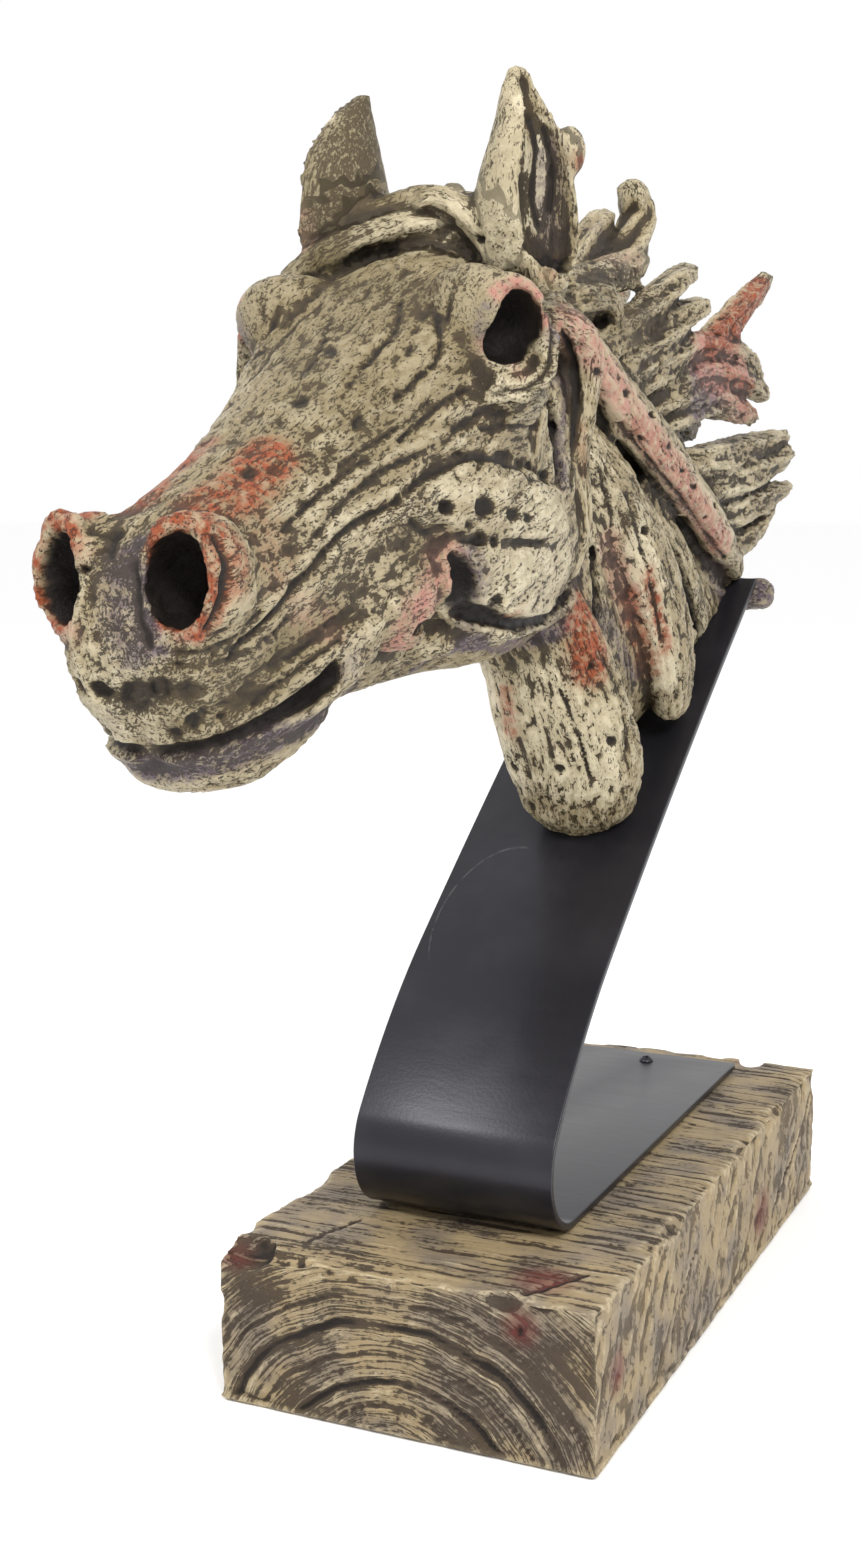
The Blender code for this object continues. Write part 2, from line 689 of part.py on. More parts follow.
def forelock_form(bm):
    """Twisted cords that cross the head in front of the ears, and a knot on the top."""
    path = [(-43, -148, 402, 3.0), (-31, -144, 411, 5.5), (-14, -134, 421, 7.0),
            (0, -129, 425, 7.5), (14, -127, 422, 7.5), (28, -127, 414, 6.5),
            (39, -131, 406, 5.0), (45, -137, 399, 3.0)]
    rope(bm, path, 4, 0.6, 5.0)
    lump(bm, (3, -118, 434), (5, 5, 5), detail=2)


def lock(bm, half, twist, out, path, root=MANE_ROOT):
    """A lock of the mane along (y, z) points, which spreads from the root to out in X."""
    last = len(path) - 1
    points = []
    for index, (y, z) in enumerate(path):
        share = index / last
        x = root + (out - root) * math.sqrt(share)
        points.append((x, y, z, half * (1.0 - 0.42 * share ** 3)))
    strand(bm, points, (1, 0, 0.3), LOCK_FLATNESS, twist)


def mane_locks(bm):
    """The locks of one side, from the poll to the withers."""
    # hook that stands up behind the ear, and the light band in front of its foot
    lock(bm, 10.0, 30, 18, ((-48, 402), (-20, 414), (8, 422), (26, 434), (33, 446), (26, 456)))
    lock(bm, 8.0, 0, 10, ((-40, 406), (-16, 424), (4, 437), (20, 443)), root=14)
    lock(bm, 7.0, 0, 24, ((-86, 402), (-56, 409), (-24, 415), (6, 419), (24, 426)))
    # curls under the hook, swept up to one blunt tip
    lock(bm, 6.5, 0, 31, ((-84, 395), (-58, 403), (-37, 406), (-27, 401)))
    lock(bm, 8.5, 60, 32, ((-62, 384), (-34, 388), (0, 400), (26, 411), (46, 420), (62, 426)))
    lock(bm, 8.5, 60, 36, ((-52, 375), (-20, 379), (10, 389), (34, 399), (54, 408), (68, 412)))
    lock(bm, 8.0, 40, 35, ((-26, 369), (4, 377), (28, 385), (50, 392), (70, 398)))
    # horn
    lock(bm, 8.5, 0, 35, ((40, 368), (76, 384), (108, 402), (146, 420), (173, 433)))
    # short thick locks below the horn
    lock(bm, 8.5, 60, 37, ((-6, 370), (30, 383), (66, 393), (108, 396), (138, 393), (153, 387)))
    lock(bm, 8.0, 50, 40, ((4, 363), (40, 374), (80, 384), (122, 384), (155, 379)))
    lock(bm, 8.0, 40, 39, ((20, 357), (52, 366), (86, 373), (118, 371), (138, 368)))
    # low fan
    lock(bm, 8.0, 20, 38, ((52, 344), (90, 347), (130, 352), (170, 357), (201, 361)))
    lock(bm, 8.0, 20, 41, ((64, 334), (104, 336), (144, 341), (178, 347), (202, 353)))
    lock(bm, 8.0, 20, 38, ((84, 324), (124, 322), (162, 328), (188, 333), (210, 337)))
    lock(bm, 6.5, 0, 35, ((104, 312), (142, 308), (170, 315), (194, 326)))


def middle_locks(bm):
    for half, path in (
        (12.0, ((10, 396), (56, 400), (100, 398), (130, 391))),
        (12.0, ((60, 376), (104, 378), (142, 373), (170, 364))),
        (11.0, ((104, 344), (140, 345), (174, 341), (194, 336))),
    ):
        lock(bm, half, 0, 0, path, root=0)


# Head: what is hollowed out


def hollow_forms(bm, skin):
    # eye: a deep hole that leans forward at its foot
    lump(bm, EYE + Vector((1.5, 2.5, 2.0)), (17, 6.5, 10.5), (0, 0, EYE_TURN))
    lump(bm, EYE + Vector((-0.5, -2.0, -3.5)), (17, 8.5, 7.0), (0, 0, EYE_TURN))
    # nostril
    across, forward, up = NOSTRIL
    lump(bm, skull_point(across, forward + 4, up), (7.0, 20, 11.0), (0, 0, 20))
    # valley between the eye and the ridge behind it
    valley = [(43, -134, 396, 2.5), (44, -119, 386, 4.5), (44, -109, 373, 5.5), (44, -105, 355, 5.5),
              (44, -106, 338, 3.0)]
    strand(bm, skin.pressed(valley, 1.5), (1, 0, 0), 1.8, sides=10)
    # fold behind and under the lower lid
    fold = [(53, -155, 392, 1.6), (55, -157, 380, 2.4), (52, -164, 368, 2.4), (46, -175, 361, 1.6)]
    strand(bm, skin.pressed(fold, 0.0), (1, 0, 0), 1.6, sides=8)
    # recess in front of the cheek, and the slit under the cheek
    recess = [(41, -199, 316, 2), (40, -191, 308, 5), (39, -186, 299, 6.5), (38, -184, 292, 4)]
    strand(bm, skin.pressed(recess, 1.0), (1, -0.3, 0), 2.0, sides=10)
    slit = [(36, -212, 289, 2.4), (38, -186, 291, 4), (39, -142, 288, 3.6), (40, -106, 287, 3.4),
            (40, -80, 293, 3.0), (40, -66, 302, 2.0)]
    strand(bm, skin.pressed(slit, 0.0), (1, 0, 0), 2.2, sides=8)
    # crack above the plate and the one across the cheek
    crack = [(42, -240, 333, 1.8), (42, -216, 339, 2.6), (42, -192, 345, 3.0), (43, -152, 344, 2.8),
             (44, -112, 336, 2.2)]
    strand(bm, skin.pressed(crack, 0.0), (1, 0, 0), 1.4, sides=8)
    crack = [(41, -234, 320, 2.0), (41, -200, 318, 2.6), (43, -166, 317, 2.2), (44, -134, 317, 1.4)]
    strand(bm, skin.pressed(crack, 0.0), (1, 0, 0), 1.4, sides=8)
    # mouth
    mouth = [(0, -328, 264, 2.2), (12, -314, 265, 2.4), (21, -290, 268, 3.0),
             (25, -262, 274, 4.2), (25, -243, 284, 5.4)]
    strand(bm, skin.pressed(mouth, 0.0), (0.6, -0.8, 0), 2.4, sides=8)
    # gaps between the slabs of the neck
    for gap in (
        [(36, -48, 312, 2.5), (36, -37, 290, 3.2), (36, -17, 268, 3.5), (36, -1, 250, 3.5),
         (36, 14, 230, 2.5)],
        [(40, -32, 356, 1.8), (42, -6, 338, 2.6), (42, 32, 313, 3.0), (42, 65, 288, 3.0),
         (40, 100, 252, 2.4)],
    ):
        strand(bm, skin.pressed(gap, 0.0), (1, 0, 0), 2.2, sides=8)


def mirror_across(bm):
    """Doubles what the bmesh holds, mirrored in the plane X = 0."""
    copied = bmesh.ops.duplicate(bm, geom=bm.verts[:] + bm.edges[:] + bm.faces[:])["geom"]
    verts = [item for item in copied if isinstance(item, bmesh.types.BMVert)]
    bmesh.ops.scale(bm, verts=verts, vec=(-1, 1, 1))


def canon_to_world(strap):
    """Hangs the canon on the strap's top end and leans it with the rising leg."""
    lean = strap.heading - SEAT_SLOPE
    return (Matrix.Translation(strap.top) @ Matrix.Rotation(lean, 4, "X")
            @ Matrix.Diagonal((PART, PART, PART, 1.0)) @ Matrix.Translation(-SEAT))


def voxel_skin(made, size):
    skin = made.modifiers.new("skin", "REMESH")
    skin.mode = "VOXEL"
    skin.voxel_size = size * PART


def cast(name, home, place, size, both_sides, once, core=None):
    """One skin round overlapping forms and the core; both_sides are also made mirrored."""
    bm = bmesh.new()
    for form in both_sides:
        form(bm)
    mirror_across(bm)
    for form in once:
        form(bm)
    bmesh.ops.recalc_face_normals(bm, faces=bm.faces[:])
    bmesh.ops.transform(bm, matrix=place, verts=bm.verts)
    if core:
        bm.from_mesh(core.data)
    made = object_from(bm, name, home)
    voxel_skin(made, size)
    return applied(made)


def make_head(strap, home, cutters, finish):
    place = canon_to_world(strap)
    core = as_cutter(cast("head_core", cutters, place, SKIN_VOXEL,
                          [brow_form, cheek_form, muzzle_form, neck_slabs],
                          [skull_form, neck_form]))
    skin = Surface(core, place)
    made = cast("horse_head", home, place, SKIN_VOXEL,
                [lambda bm: relief_forms(bm, skin), mane_locks],
                [forelock_form, ear_knob, middle_locks,
                 lambda bm: ear_form(bm, LEFT_EAR, 1), lambda bm: ear_form(bm, RIGHT_EAR, -1)],
                core)
    made.data.materials.append(finish)
    skin = Surface(made, place)
    hollows = cast("head_hollows", cutters, place, HOLLOW_VOXEL,
                   [lambda bm: hollow_forms(bm, skin)],
                   [lambda bm: ear_hollow(bm, LEFT_EAR, 1), lambda bm: ear_hollow(bm, RIGHT_EAR, -1)])
    boolean(made, as_cutter(hollows))
    voxel_skin(made, SKIN_VOXEL)
    soft = made.modifiers.new("soft", "SMOOTH")
    soft.factor = 0.5
    soft.iterations = SOFTENING_STEPS
    applied(made)
    thin = made.modifiers.new("facets", "DECIMATE")
    thin.ratio = HEAD_TRIANGLES / (2 * len(made.data.polygons))
    boolean(made, seat_cutter(strap, cutters), "MANIFOLD")
    return made


def seat_cutter(strap, cutters):
    """All that lies under the strap's outer face, but for a lobe behind its top end."""
    reach = BLOCK_WIDTH
    face = strap.offset(GAP, first=2)
    along = (Vector(strap.points[-1]) - Vector(strap.points[-2])).normalized()
    outward = Vector((-along.y, along.x))
    end = Vector(strap.points[-1]) + along * GAP
    below = STRAP_THICKNESS + GAP
    outline = [(point.x, point.y) for point in face[:-1]]
    outline.append(tuple(end + outward * GAP))
    outline.append(tuple(end - outward * below))
    back = end - along * LOBE_LENGTH - outward * below
    outline.append(tuple(back))
    outline.append((back.x, strap.floor))
    bm = bmesh.new()
    verts = [bm.verts.new((-reach, y, z)) for y, z in outline]
    base = bm.faces.new(verts)
    swept = bmesh.ops.extrude_face_region(bm, geom=[base])["geom"]
    moved = [item for item in swept if isinstance(item, bmesh.types.BMVert)]
    bmesh.ops.translate(bm, verts=moved, vec=(2 * reach, 0, 0))
    bmesh.ops.recalc_face_normals(bm, faces=bm.faces[:])
    return as_cutter(object_from(bm, "head_seat", cutters))


def main():
    clear_scene()
    home = collection(COLLECTION)
    cutters = collection("cutters")
    strap = Strap()
    steel = make_strap(strap, home, material("dark_steel", (0.03, 0.026, 0.03), 0.42, 0.6))
    boolean(steel, screw_bore("strap_bore", strap, cutters))
    make_block(strap, home, cutters, material("cast_timber", (0.42, 0.34, 0.22), 0.7))
    make_screw(strap, home, cutters, material("screw_steel", (0.05, 0.05, 0.055), 0.4, 0.8))
    make_head(strap, home, cutters, material("bone_resin", (0.62, 0.55, 0.37), 0.55))
    for item in home.objects:
        item.data.shade_smooth()
        item.data.set_sharp_from_angle(angle=math.radians(35))


main()
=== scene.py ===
"""Looks of a resin horse head on a bent steel strap, screwed to a block of cast timber.

The head is cast from the same forms as the part's solid, in a canon of millimetres that hangs
on the strap's top end, but with a finer skin.  Furrows, pits and grain are then carved into the
skin, and washes of paint are laid on it, with painted shade in its creases and holes.  The horse
looks along -Y and +X is its left side.
"""

import math
from collections import namedtuple

import bmesh
import bpy
import numpy as np
from bpy.props import FloatProperty, FloatVectorProperty, IntProperty, PointerProperty
from mathutils import Euler, Matrix, Vector, kdtree, noise
from mathutils.bvhtree import BVHTree


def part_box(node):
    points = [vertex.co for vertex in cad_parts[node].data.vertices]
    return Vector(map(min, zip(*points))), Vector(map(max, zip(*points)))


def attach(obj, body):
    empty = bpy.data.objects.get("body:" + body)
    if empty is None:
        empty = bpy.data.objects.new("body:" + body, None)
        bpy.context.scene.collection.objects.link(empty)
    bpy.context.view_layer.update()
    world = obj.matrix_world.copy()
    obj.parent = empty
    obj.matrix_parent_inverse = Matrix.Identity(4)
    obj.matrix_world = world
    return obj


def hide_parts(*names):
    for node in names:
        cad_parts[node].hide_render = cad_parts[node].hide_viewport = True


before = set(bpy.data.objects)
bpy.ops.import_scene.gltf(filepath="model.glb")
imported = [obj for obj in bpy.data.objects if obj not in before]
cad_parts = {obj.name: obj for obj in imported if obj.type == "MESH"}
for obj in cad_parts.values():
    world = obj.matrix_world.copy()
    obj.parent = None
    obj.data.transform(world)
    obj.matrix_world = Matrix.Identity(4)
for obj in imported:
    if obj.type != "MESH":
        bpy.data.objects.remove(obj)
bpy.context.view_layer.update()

bl_info = {
    "name": "Driftwood Horse Head",
    "version": (1, 0, 0),
    "blender": (4, 5, 0),
    "location": "View3D > Sidebar > Horse Head",
    "description": "Casts, carves and paints a resin horse head on its steel strap and timber block",
    "category": "Object",
}

BODY = "root"

MILLIMETRE = 0.001

# Stand, in metres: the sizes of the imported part
GAP = 0.0003
BLOCK_LENGTH = 0.316
BLOCK_HEIGHT = 0.0604
STRAP_WIDTH = 0.080
STRAP_THICKNESS = 0.0030
BEND_RADIUS = 0.0253         # outer face of the tight front bend
KNEE_RADIUS = 0.29           # easing of the rising leg just above the bend
LEG_RADIUS = 3.2             # the rest of the rising leg is almost straight
BEND_EXIT = math.radians(52.0)   # slope of the leg where it leaves the bend
KNEE_EXIT = math.radians(36.3)
LEG_LENGTH = 0.245           # rising leg past the knee
FOOT_LENGTH = 0.2225         # flat leg on the block, to the start of the bend
FOOT_END_INSET = 0.0235      # from the block's back face to the end of the flat leg
SEAT_STEPS = (20, 6, 8)      # points along the bend, the knee and the leg under the head
STRAP_STEPS = (56, 20, 24)   # and on the strap itself
LOBE_LENGTH = 0.014          # resin left behind the top end of the strap
SCREW_HEAD_DIAMETER = 0.0066
SCREW_HEAD_HEIGHT = 0.0022
SCREW_DOME_POWER = 1.6       # how flat the dome is
SCREW_SHANK_DIAMETER = 0.0034
SCREW_LENGTH = 0.026
SCREW_POINT = 0.0073         # length of the point
SCREW_FROM_END = 0.0140      # from the end of the flat leg to the screw
SCREW_SLOT_WIDTH = 0.0009
SCREW_SLOT_DEPTH = 0.0011
SCREW_SLOT_TURN = 0.5        # radians

# The head's canon, in millimetres
SEAT = Vector((0.0, 151.8, 294.6))       # the strap's top end
SEAT_SLOPE = math.radians(31.9)          # of the rising leg there
SKULL_ORIGIN = Vector((0.0, -150.0, 345.0))
SKULL_PITCH = math.radians(17.0)         # the skull's own axis looks down by this much
CORE_VOXEL = 1.8                         # cells of the masses that the carving lies on
HOLLOW_VOXEL = 1.0
EYE = Vector((45.5, -171.5, 384.0))
EYE_FACING = Vector((0.76, -0.64, 0.1)).normalized()
EYE_TURN = -40.0                         # degrees about Z from +X to where the eye looks
NOSTRIL = (18.2, 173.5, 19.0)            # across, forward and up on the skull
NOSTRIL_FACING = Vector((0.36, -0.93, 0.0)).normalized()
EAR_FACING = Vector((0.93, -0.36, 0.1)).normalized()
EAR_FOOT = 411.0
EAR_TIP = 472.5
EAR_WALL = 4.0                           # thickness left round the hollow of an ear
EAR_HOLLOW_SHARE = 0.74                  # how far out the hollow lies, in half widths
MANE_ROOT = 20.0                         # where the locks leave the neck, across
LOCK_FLATNESS = 0.85
LOCK_RIBS = 5
RIB_HEIGHT = 0.19                        # of a lock's half width
TIP_SHARE = 0.55                         # a strand's end is drawn in to this share

# Share of the ear's height, distance from the middle of the head, y, half width
LEFT_EAR = (
    (-0.15, 34.0, -125, 12.0), (0.0, 34.0, -126, 17.0), (0.28, 33.5, -127, 18.0),
    (0.48, 33.5, -127, 16.0), (0.66, 32.5, -127, 12.0), (0.82, 31.0, -128, 7.5),
    (0.93, 30.5, -129, 5.0), (0.965, 29.8, -130, 3.4),
)
RIGHT_EAR = (
    (-0.15, 34.0, -126, 12.0), (0.0, 36.0, -128, 18.0), (0.24, 37.0, -129, 20.0),
    (0.43, 36.0, -129, 19.5), (0.60, 34.0, -128, 15.5), (0.76, 31.0, -127, 10.0),
    (0.87, 28.0, -126, 5.0), (0.92, 26.0, -125, 2.2),
)

# The photograph's camera: its frame in pixels, where it stands and how it is turned
PHOTO_WIDTH = 861
PHOTO_HEIGHT = 1552
PHOTO_FOCAL = 1935.9
CAMERA_PLACE = Vector((0.2779, -0.7431, 0.3316))
CAMERA_AZIMUTH = math.radians(24.40)
CAMERA_DROP = math.radians(8.19)

# Lines carved into the seen side: half width and depth in millimetres, raised where the depth
# is negative, then the line's own points in the photograph's pixels
FURROWS = (
    # from the tip of the plate down to the lip, and the raised edge above it
    (1.3, 1.9, ((400, 499), (372, 515), (345, 532), (320, 560), (302, 580), (282, 607), (253, 636),
                (234, 657))),
    (1.6, -0.8, ((396, 489), (368, 505), (340, 522), (314, 549), (296, 570), (274, 598))),
    # foot of the valley behind the eye, and the lower edge of the lobe under the eye
    (1.5, 3.2, ((548, 306), (567, 344), (576, 392), (575, 440), (572, 484))),
    (1.2, 1.4, ((552, 318), (553, 350), (545, 374), (524, 388), (500, 386))),
    # edges of the plate
    (1.2, 1.5, ((400, 497), (428, 475), (471, 457), (519, 467), (535, 479), (560, 486))),
    (1.2, 1.3, ((399, 499), (414, 526), (428, 534), (467, 540), (543, 543))),
    # folds below and behind the eye
    (1.2, 1.3, ((554, 384), (535, 392), (500, 396), (467, 390), (440, 406), (400, 441))),
    (1.1, 1.2, ((553, 320), (561, 348), (549, 388), (516, 406), (484, 412), (456, 428))),
    (1.0, 1.0, ((564, 332), (570, 380), (548, 404), (500, 416), (455, 432))),
    (1.0, 1.2, ((483, 429), (530, 427), (552, 428), (548, 476))),
    (1.0, 0.9, ((368, 459), (349, 471), (303, 510), (285, 530))),
    (1.0, 0.8, ((452, 438), (416, 456), (384, 470), (346, 500), (318, 534))),
    (0.9, 0.8, ((430, 400), (404, 424), (378, 440), (340, 466))),
    (1.1, -0.6, ((448, 430), (412, 447), (378, 462), (344, 486))),
    # creases of the brow
    (1.2, 1.2, ((436, 316), (441, 354), (418, 378), (396, 400))),
    (0.9, 0.8, ((400, 300), (396, 330), (372, 356), (350, 384))),
    (0.9, 0.7, ((330, 318), (318, 350), (300, 378))),
    (0.9, 0.7, ((470, 266), (452, 290), (446, 318))),
    # gash behind the nostril, groove before it, fold on the bridge of the nose
    (2.1, 3.4, ((219, 536), (231, 563), (227, 597), (210, 631))),
    (1.4, 1.6, ((134, 565), (137, 609), (149, 645))),
    (1.2, 1.2, ((130, 500), (118, 530), (110, 556))),
    # lines of the upper lip
    (0.8, 1.0, ((165, 650), (200, 652), (240, 636), (262, 612))),
    (0.8, 1.0, ((178, 664), (220, 664), (262, 645), (292, 618))),
    (0.7, 0.9, ((182, 642), (212, 640), (236, 620))),
    (0.7, 0.9, ((215, 655), (250, 640), (276, 614))),
    (0.8, 0.6, ((200, 690), (250, 676), (300, 650), (330, 622))),
    (0.8, 0.6, ((215, 706), (262, 692), (306, 668))),
    (0.9, 0.9, ((253, 704), (297, 670), (340, 638))),
    # behind the cheek and along the neck
    (1.0, 1.0, ((600, 470), (612, 520), (606, 560))),
    (1.2, 1.6, ((619, 425), (646, 459), (678, 496), (700, 528), (725, 560))),
    (1.0, 1.0, ((628, 496), (640, 540), (652, 586), (662, 640))),
    (1.0, 0.9, ((660, 500), (678, 556), (688, 620), (694, 680))),
    (1.0, 1.0, ((606, 660), (622, 700), (628, 750))),
    (0.9, 0.8, ((560, 690), (580, 740), (592, 790))),
    # strands in the hollow of the left ear
    (1.0, 1.2, ((529, 118), (536, 150), (532, 192), (538, 226))),
    (1.0, 1.0, ((543, 128), (551, 165), (549, 210))),
)

# The mouth from the middle of the lips to its corner: pixel, half width in millimetres
MOUTH = ((114, 748, 2.1), (150, 754, 2.3), (200, 748, 2.2), (250, 731, 2.3), (290, 710, 2.8),
         (320, 690, 3.6), (342, 670, 3.8))

# Pits in the seen side: pixel, radius and depth in millimetres
PITS = (
    (450, 508, 2.8, 3.5), (487, 507, 3.4, 2.4), (515, 515, 2.0, 1.6), (470, 526, 1.6, 1.6),
    (530, 520, 1.8, 1.2), (500, 602, 2.6, 2.2), (494, 604, 1.8, 2.0), (593, 553, 2.0, 3.0),
    (646, 531, 1.8, 3.0), (81, 569, 1.5, 3.0), (134, 699, 5.2, 1.6), (161, 691, 3.4, 1.6),
    (188, 691, 3.2, 1.2), (98, 691, 3.4, 2.2), (195, 723, 2.4, 1.4), (176, 736, 2.0, 1.2),
    (480, 240, 1.7, 2.4), (546, 475, 2.0, 2.6), (550, 427, 1.9, 2.2),
    (205, 712, 1.6, 1.1), (222, 716, 1.5, 1.0), (230, 735, 1.3, 1.0), (592, 668, 1.6, 2.2),
    (635, 718, 1.8, 2.2), (560, 770, 2.2, 1.4), (612, 742, 2.0, 1.4), (640, 478, 1.6, 1.4),
    (600, 372, 1.5, 1.8), (628, 394, 1.7, 1.8), (653, 414, 1.4, 1.8),
    (642, 440, 1.5, 1.5), (696, 487, 1.8, 2.2), (684, 470, 1.3, 1.4),
    (716, 506, 1.4, 1.8), (672, 446, 1.2, 1.3), (706, 518, 1.3, 1.2),
    (250, 470, 2.2, 0.8), (300, 400, 2.6, 0.7), (360, 420, 2.4, 0.7), (330, 350, 2.4, 0.7),
    (410, 350, 2.6, 0.7), (230, 520, 1.6, 1.0),
)

# Washes of paint, some of them painted shade: radius in millimetres, strength, then the stroke in
# the photograph's pixels
WASHES = {
    # nose, nostrils, slabs of the neck, horn and the top of the ear
    "orange": (
        (9, 1.1, ((205, 506), (240, 488), (272, 452))),
        (5, 1.2, ((172, 520), (200, 512), (218, 534), (226, 566), (220, 606), (204, 630))),
        (3, 1.2, ((152, 560), (154, 532), (168, 516), (190, 512), (206, 526), (213, 556),
                  (212, 594), (202, 618), (184, 630), (166, 624))),
        (8, 0.8, ((232, 540), (240, 572))),
        (10, 0.35, ((262, 520), (276, 560))),
        (4, 0.7, ((64, 528), (78, 546))),
        (10, 1.2, ((584, 614), (592, 668))),
        (4, 0.8, ((506, 690), (510, 735))),
        (6, 0.8, ((628, 596), (640, 640), (650, 672))),
        (4, 0.9, ((648, 572), (657, 606), (668, 650))),
        (3.5, 0.8, ((478, 614), (500, 621), (518, 614))),
        (9, 1.6, ((712, 342), (738, 325), (756, 302), (765, 290))),
        (4, 0.9, ((580, 162), (577, 196))),
        (3, 0.5, ((555, 262), (548, 276))),
        (3, 0.4, ((582, 425), (586, 470))),
        (3, 0.6, ((672, 720), (668, 748))),
        (6, 0.45, ((636, 420), (690, 488), (724, 546))),
        (5, 0.9, ((728, 376), (748, 390), (754, 408))),
    ),
    # eye and lids, mouth corner, crest of the neck, foot of the horn, nostrils
    "pink": (
        (8, 0.7, ((606, 545), (628, 612))),
        (3.6, 1.0, ((497, 292), (520, 284), (540, 294), (547, 320))),
        (3.0, 0.6, ((482, 346), (500, 362), (520, 372))),
        (10, 0.9, ((442, 566), (436, 594), (414, 624), (402, 646))),
        (9, 0.85, ((572, 322), (606, 368), (648, 428), (690, 490), (726, 550))),
        (14, 1.3, ((700, 356), (742, 384))),
        (9, 0.8, ((735, 420), (752, 410))),
        (4, 0.7, ((172, 628), (198, 634))),
        (4, 0.6, ((60, 630), (72, 634))),
        (6, 0.4, ((300, 610), (330, 630))),
        (4, 0.5, ((303, 214), (306, 246))),
        (5, 0.4, ((640, 262), (600, 258))),
    ),
    # valley behind the eye, edge of the jaw, neck, lower lip, hollow of the ear, mane
    "violet": (
        (5, 0.9, ((556, 334), (563, 384), (562, 434), (562, 480))),
        (5, 1.4, ((420, 668), (470, 642), (530, 642), (572, 622))),
        (5, 0.8, ((600, 612), (636, 680), (658, 742))),
        (8, 0.9, ((708, 560), (722, 590), (716, 640))),
        (12, 1.0, ((765, 590), (752, 604))),
        (5.5, 1.3, ((136, 766), (200, 766), (262, 744), (320, 712), (350, 690))),
        (4, 1.2, ((142, 540), (140, 580), (143, 616), (156, 646))),
        (8, 0.9, ((126, 560), (120, 600), (130, 645))),
        (6, 0.7, ((544, 150), (550, 200), (548, 240))),
        (3, 0.7, ((487, 304), (480, 334))),
        (8, 0.8, ((470, 560), (462, 610))),
        (9, 1.2, ((700, 372), (720, 392), (696, 404))),
        (10, 0.6, ((700, 424), (720, 440))),
        (6, 0.6, ((350, 664), (362, 690))),
        (7, 0.5, ((580, 575), (560, 610), (520, 628))),
        (8, 0.5, ((610, 205), (600, 235))),
    ),
    # brow, far ear, nose, cheek and upper lip; on the far ear it is painted shade
    "olive": (
        (30, 0.7, ((320, 290), (340, 380), (420, 300))),
        (24, 1.3, ((345, 120), (350, 180), (345, 230))),
        (26, 0.4, ((200, 480), (280, 400))),
        (9, 0.8, ((446, 282), (470, 300), (462, 340))),
        (22, 0.6, ((430, 220), (380, 250), (500, 250))),
        (16, 0.6, ((600, 300), (640, 320))),
        (16, 0.6, ((200, 700), (280, 660))),
        (12, 0.5, ((505, 100), (500, 140), (492, 210))),
    ),
    # cheek, crest and slabs of the neck, lobe under the eye, knot and ear
    "light": (
        (20, 1.0, ((530, 540), (560, 580), (510, 592))),
        (9, 0.6, ((580, 330), (650, 424), (730, 540))),
        (15, 1.0, ((550, 690), (570, 780))),
        (8, 1.3, ((640, 540), (668, 680))),
        (12, 0.6, ((720, 452), (740, 500), (725, 530))),
        (8, 0.5, ((440, 480), (540, 500))),
        (14, 0.4, ((330, 520), (380, 580))),
        (12, 0.7, ((590, 470), (600, 530))),
        (10, 0.7, ((515, 380), (500, 385))),
        (12, 0.6, ((110, 720), (110, 690))),
        (12, 0.3, ((505, 100), (500, 140), (492, 210))),
        (10, 1.2, ((600, 720), (600, 790))),
        (3, 2.2, ((538, 126), (542, 176), (540, 225))),
        (3.5, 1.6, ((522, 104), (527, 160), (529, 222))),
        (12, 0.9, ((380, 246), (440, 226), (505, 240))),
    ),
    # far ear, valley behind the eye, between the nostrils, lips and mane; on the far ear, in the
    # slit of the valley and under the lower lip it is painted shade
    "dark": (
        (9, 1.1, ((690, 380), (716, 400), (728, 420))),
        (3.0, 3.0, ((548, 306), (567, 344), (576, 392), (575, 440), (572, 484))),
        (4, 1.1, ((446, 650), (490, 638), (556, 634), (600, 612))),
        (4.5, 1.5, ((128, 704), (150, 694), (172, 690), (196, 696))),
        (3.5, 1.5, ((108, 694), (112, 706))),
        (10, 1.6, ((128, 560), (118, 600), (126, 640))),
        (14, 1.8, ((350, 120), (345, 170), (335, 225))),
        (4, 0.6, ((545, 120), (553, 180), (552, 235))),
        (14, 1.0, ((590, 270), (650, 300))),
        (5, 1.6, ((136, 764), (200, 762), (262, 742), (330, 706))),
        (8, 0.7, ((440, 470), (400, 520), (330, 590))),
        (8, 0.5, ((600, 470), (620, 560))),
        (9, 0.5, ((100, 600), (105, 660), (170, 660))),
        (6, 0.5, ((340, 700), (362, 660))),
        (16, 0.6, ((120, 650), (200, 680), (240, 690))),
        (10, 0.7, ((730, 580), (745, 590))),
    ),
}
MIRROR_FROM = 9.0            # strokes that reach further right than this are not mirrored

# A place on a strand: its axes, its half width, how far along it lies, and the strand's number
Grain = namedtuple("Grain", "place along side normal half distance seed")


def srgb(red, green, blue):
    """A colour given as 0 to 255, as linear values."""
    return tuple(((value / 255 + 0.055) / 1.055) ** 2.4 for value in (red, green, blue))


# Settings that a user would change


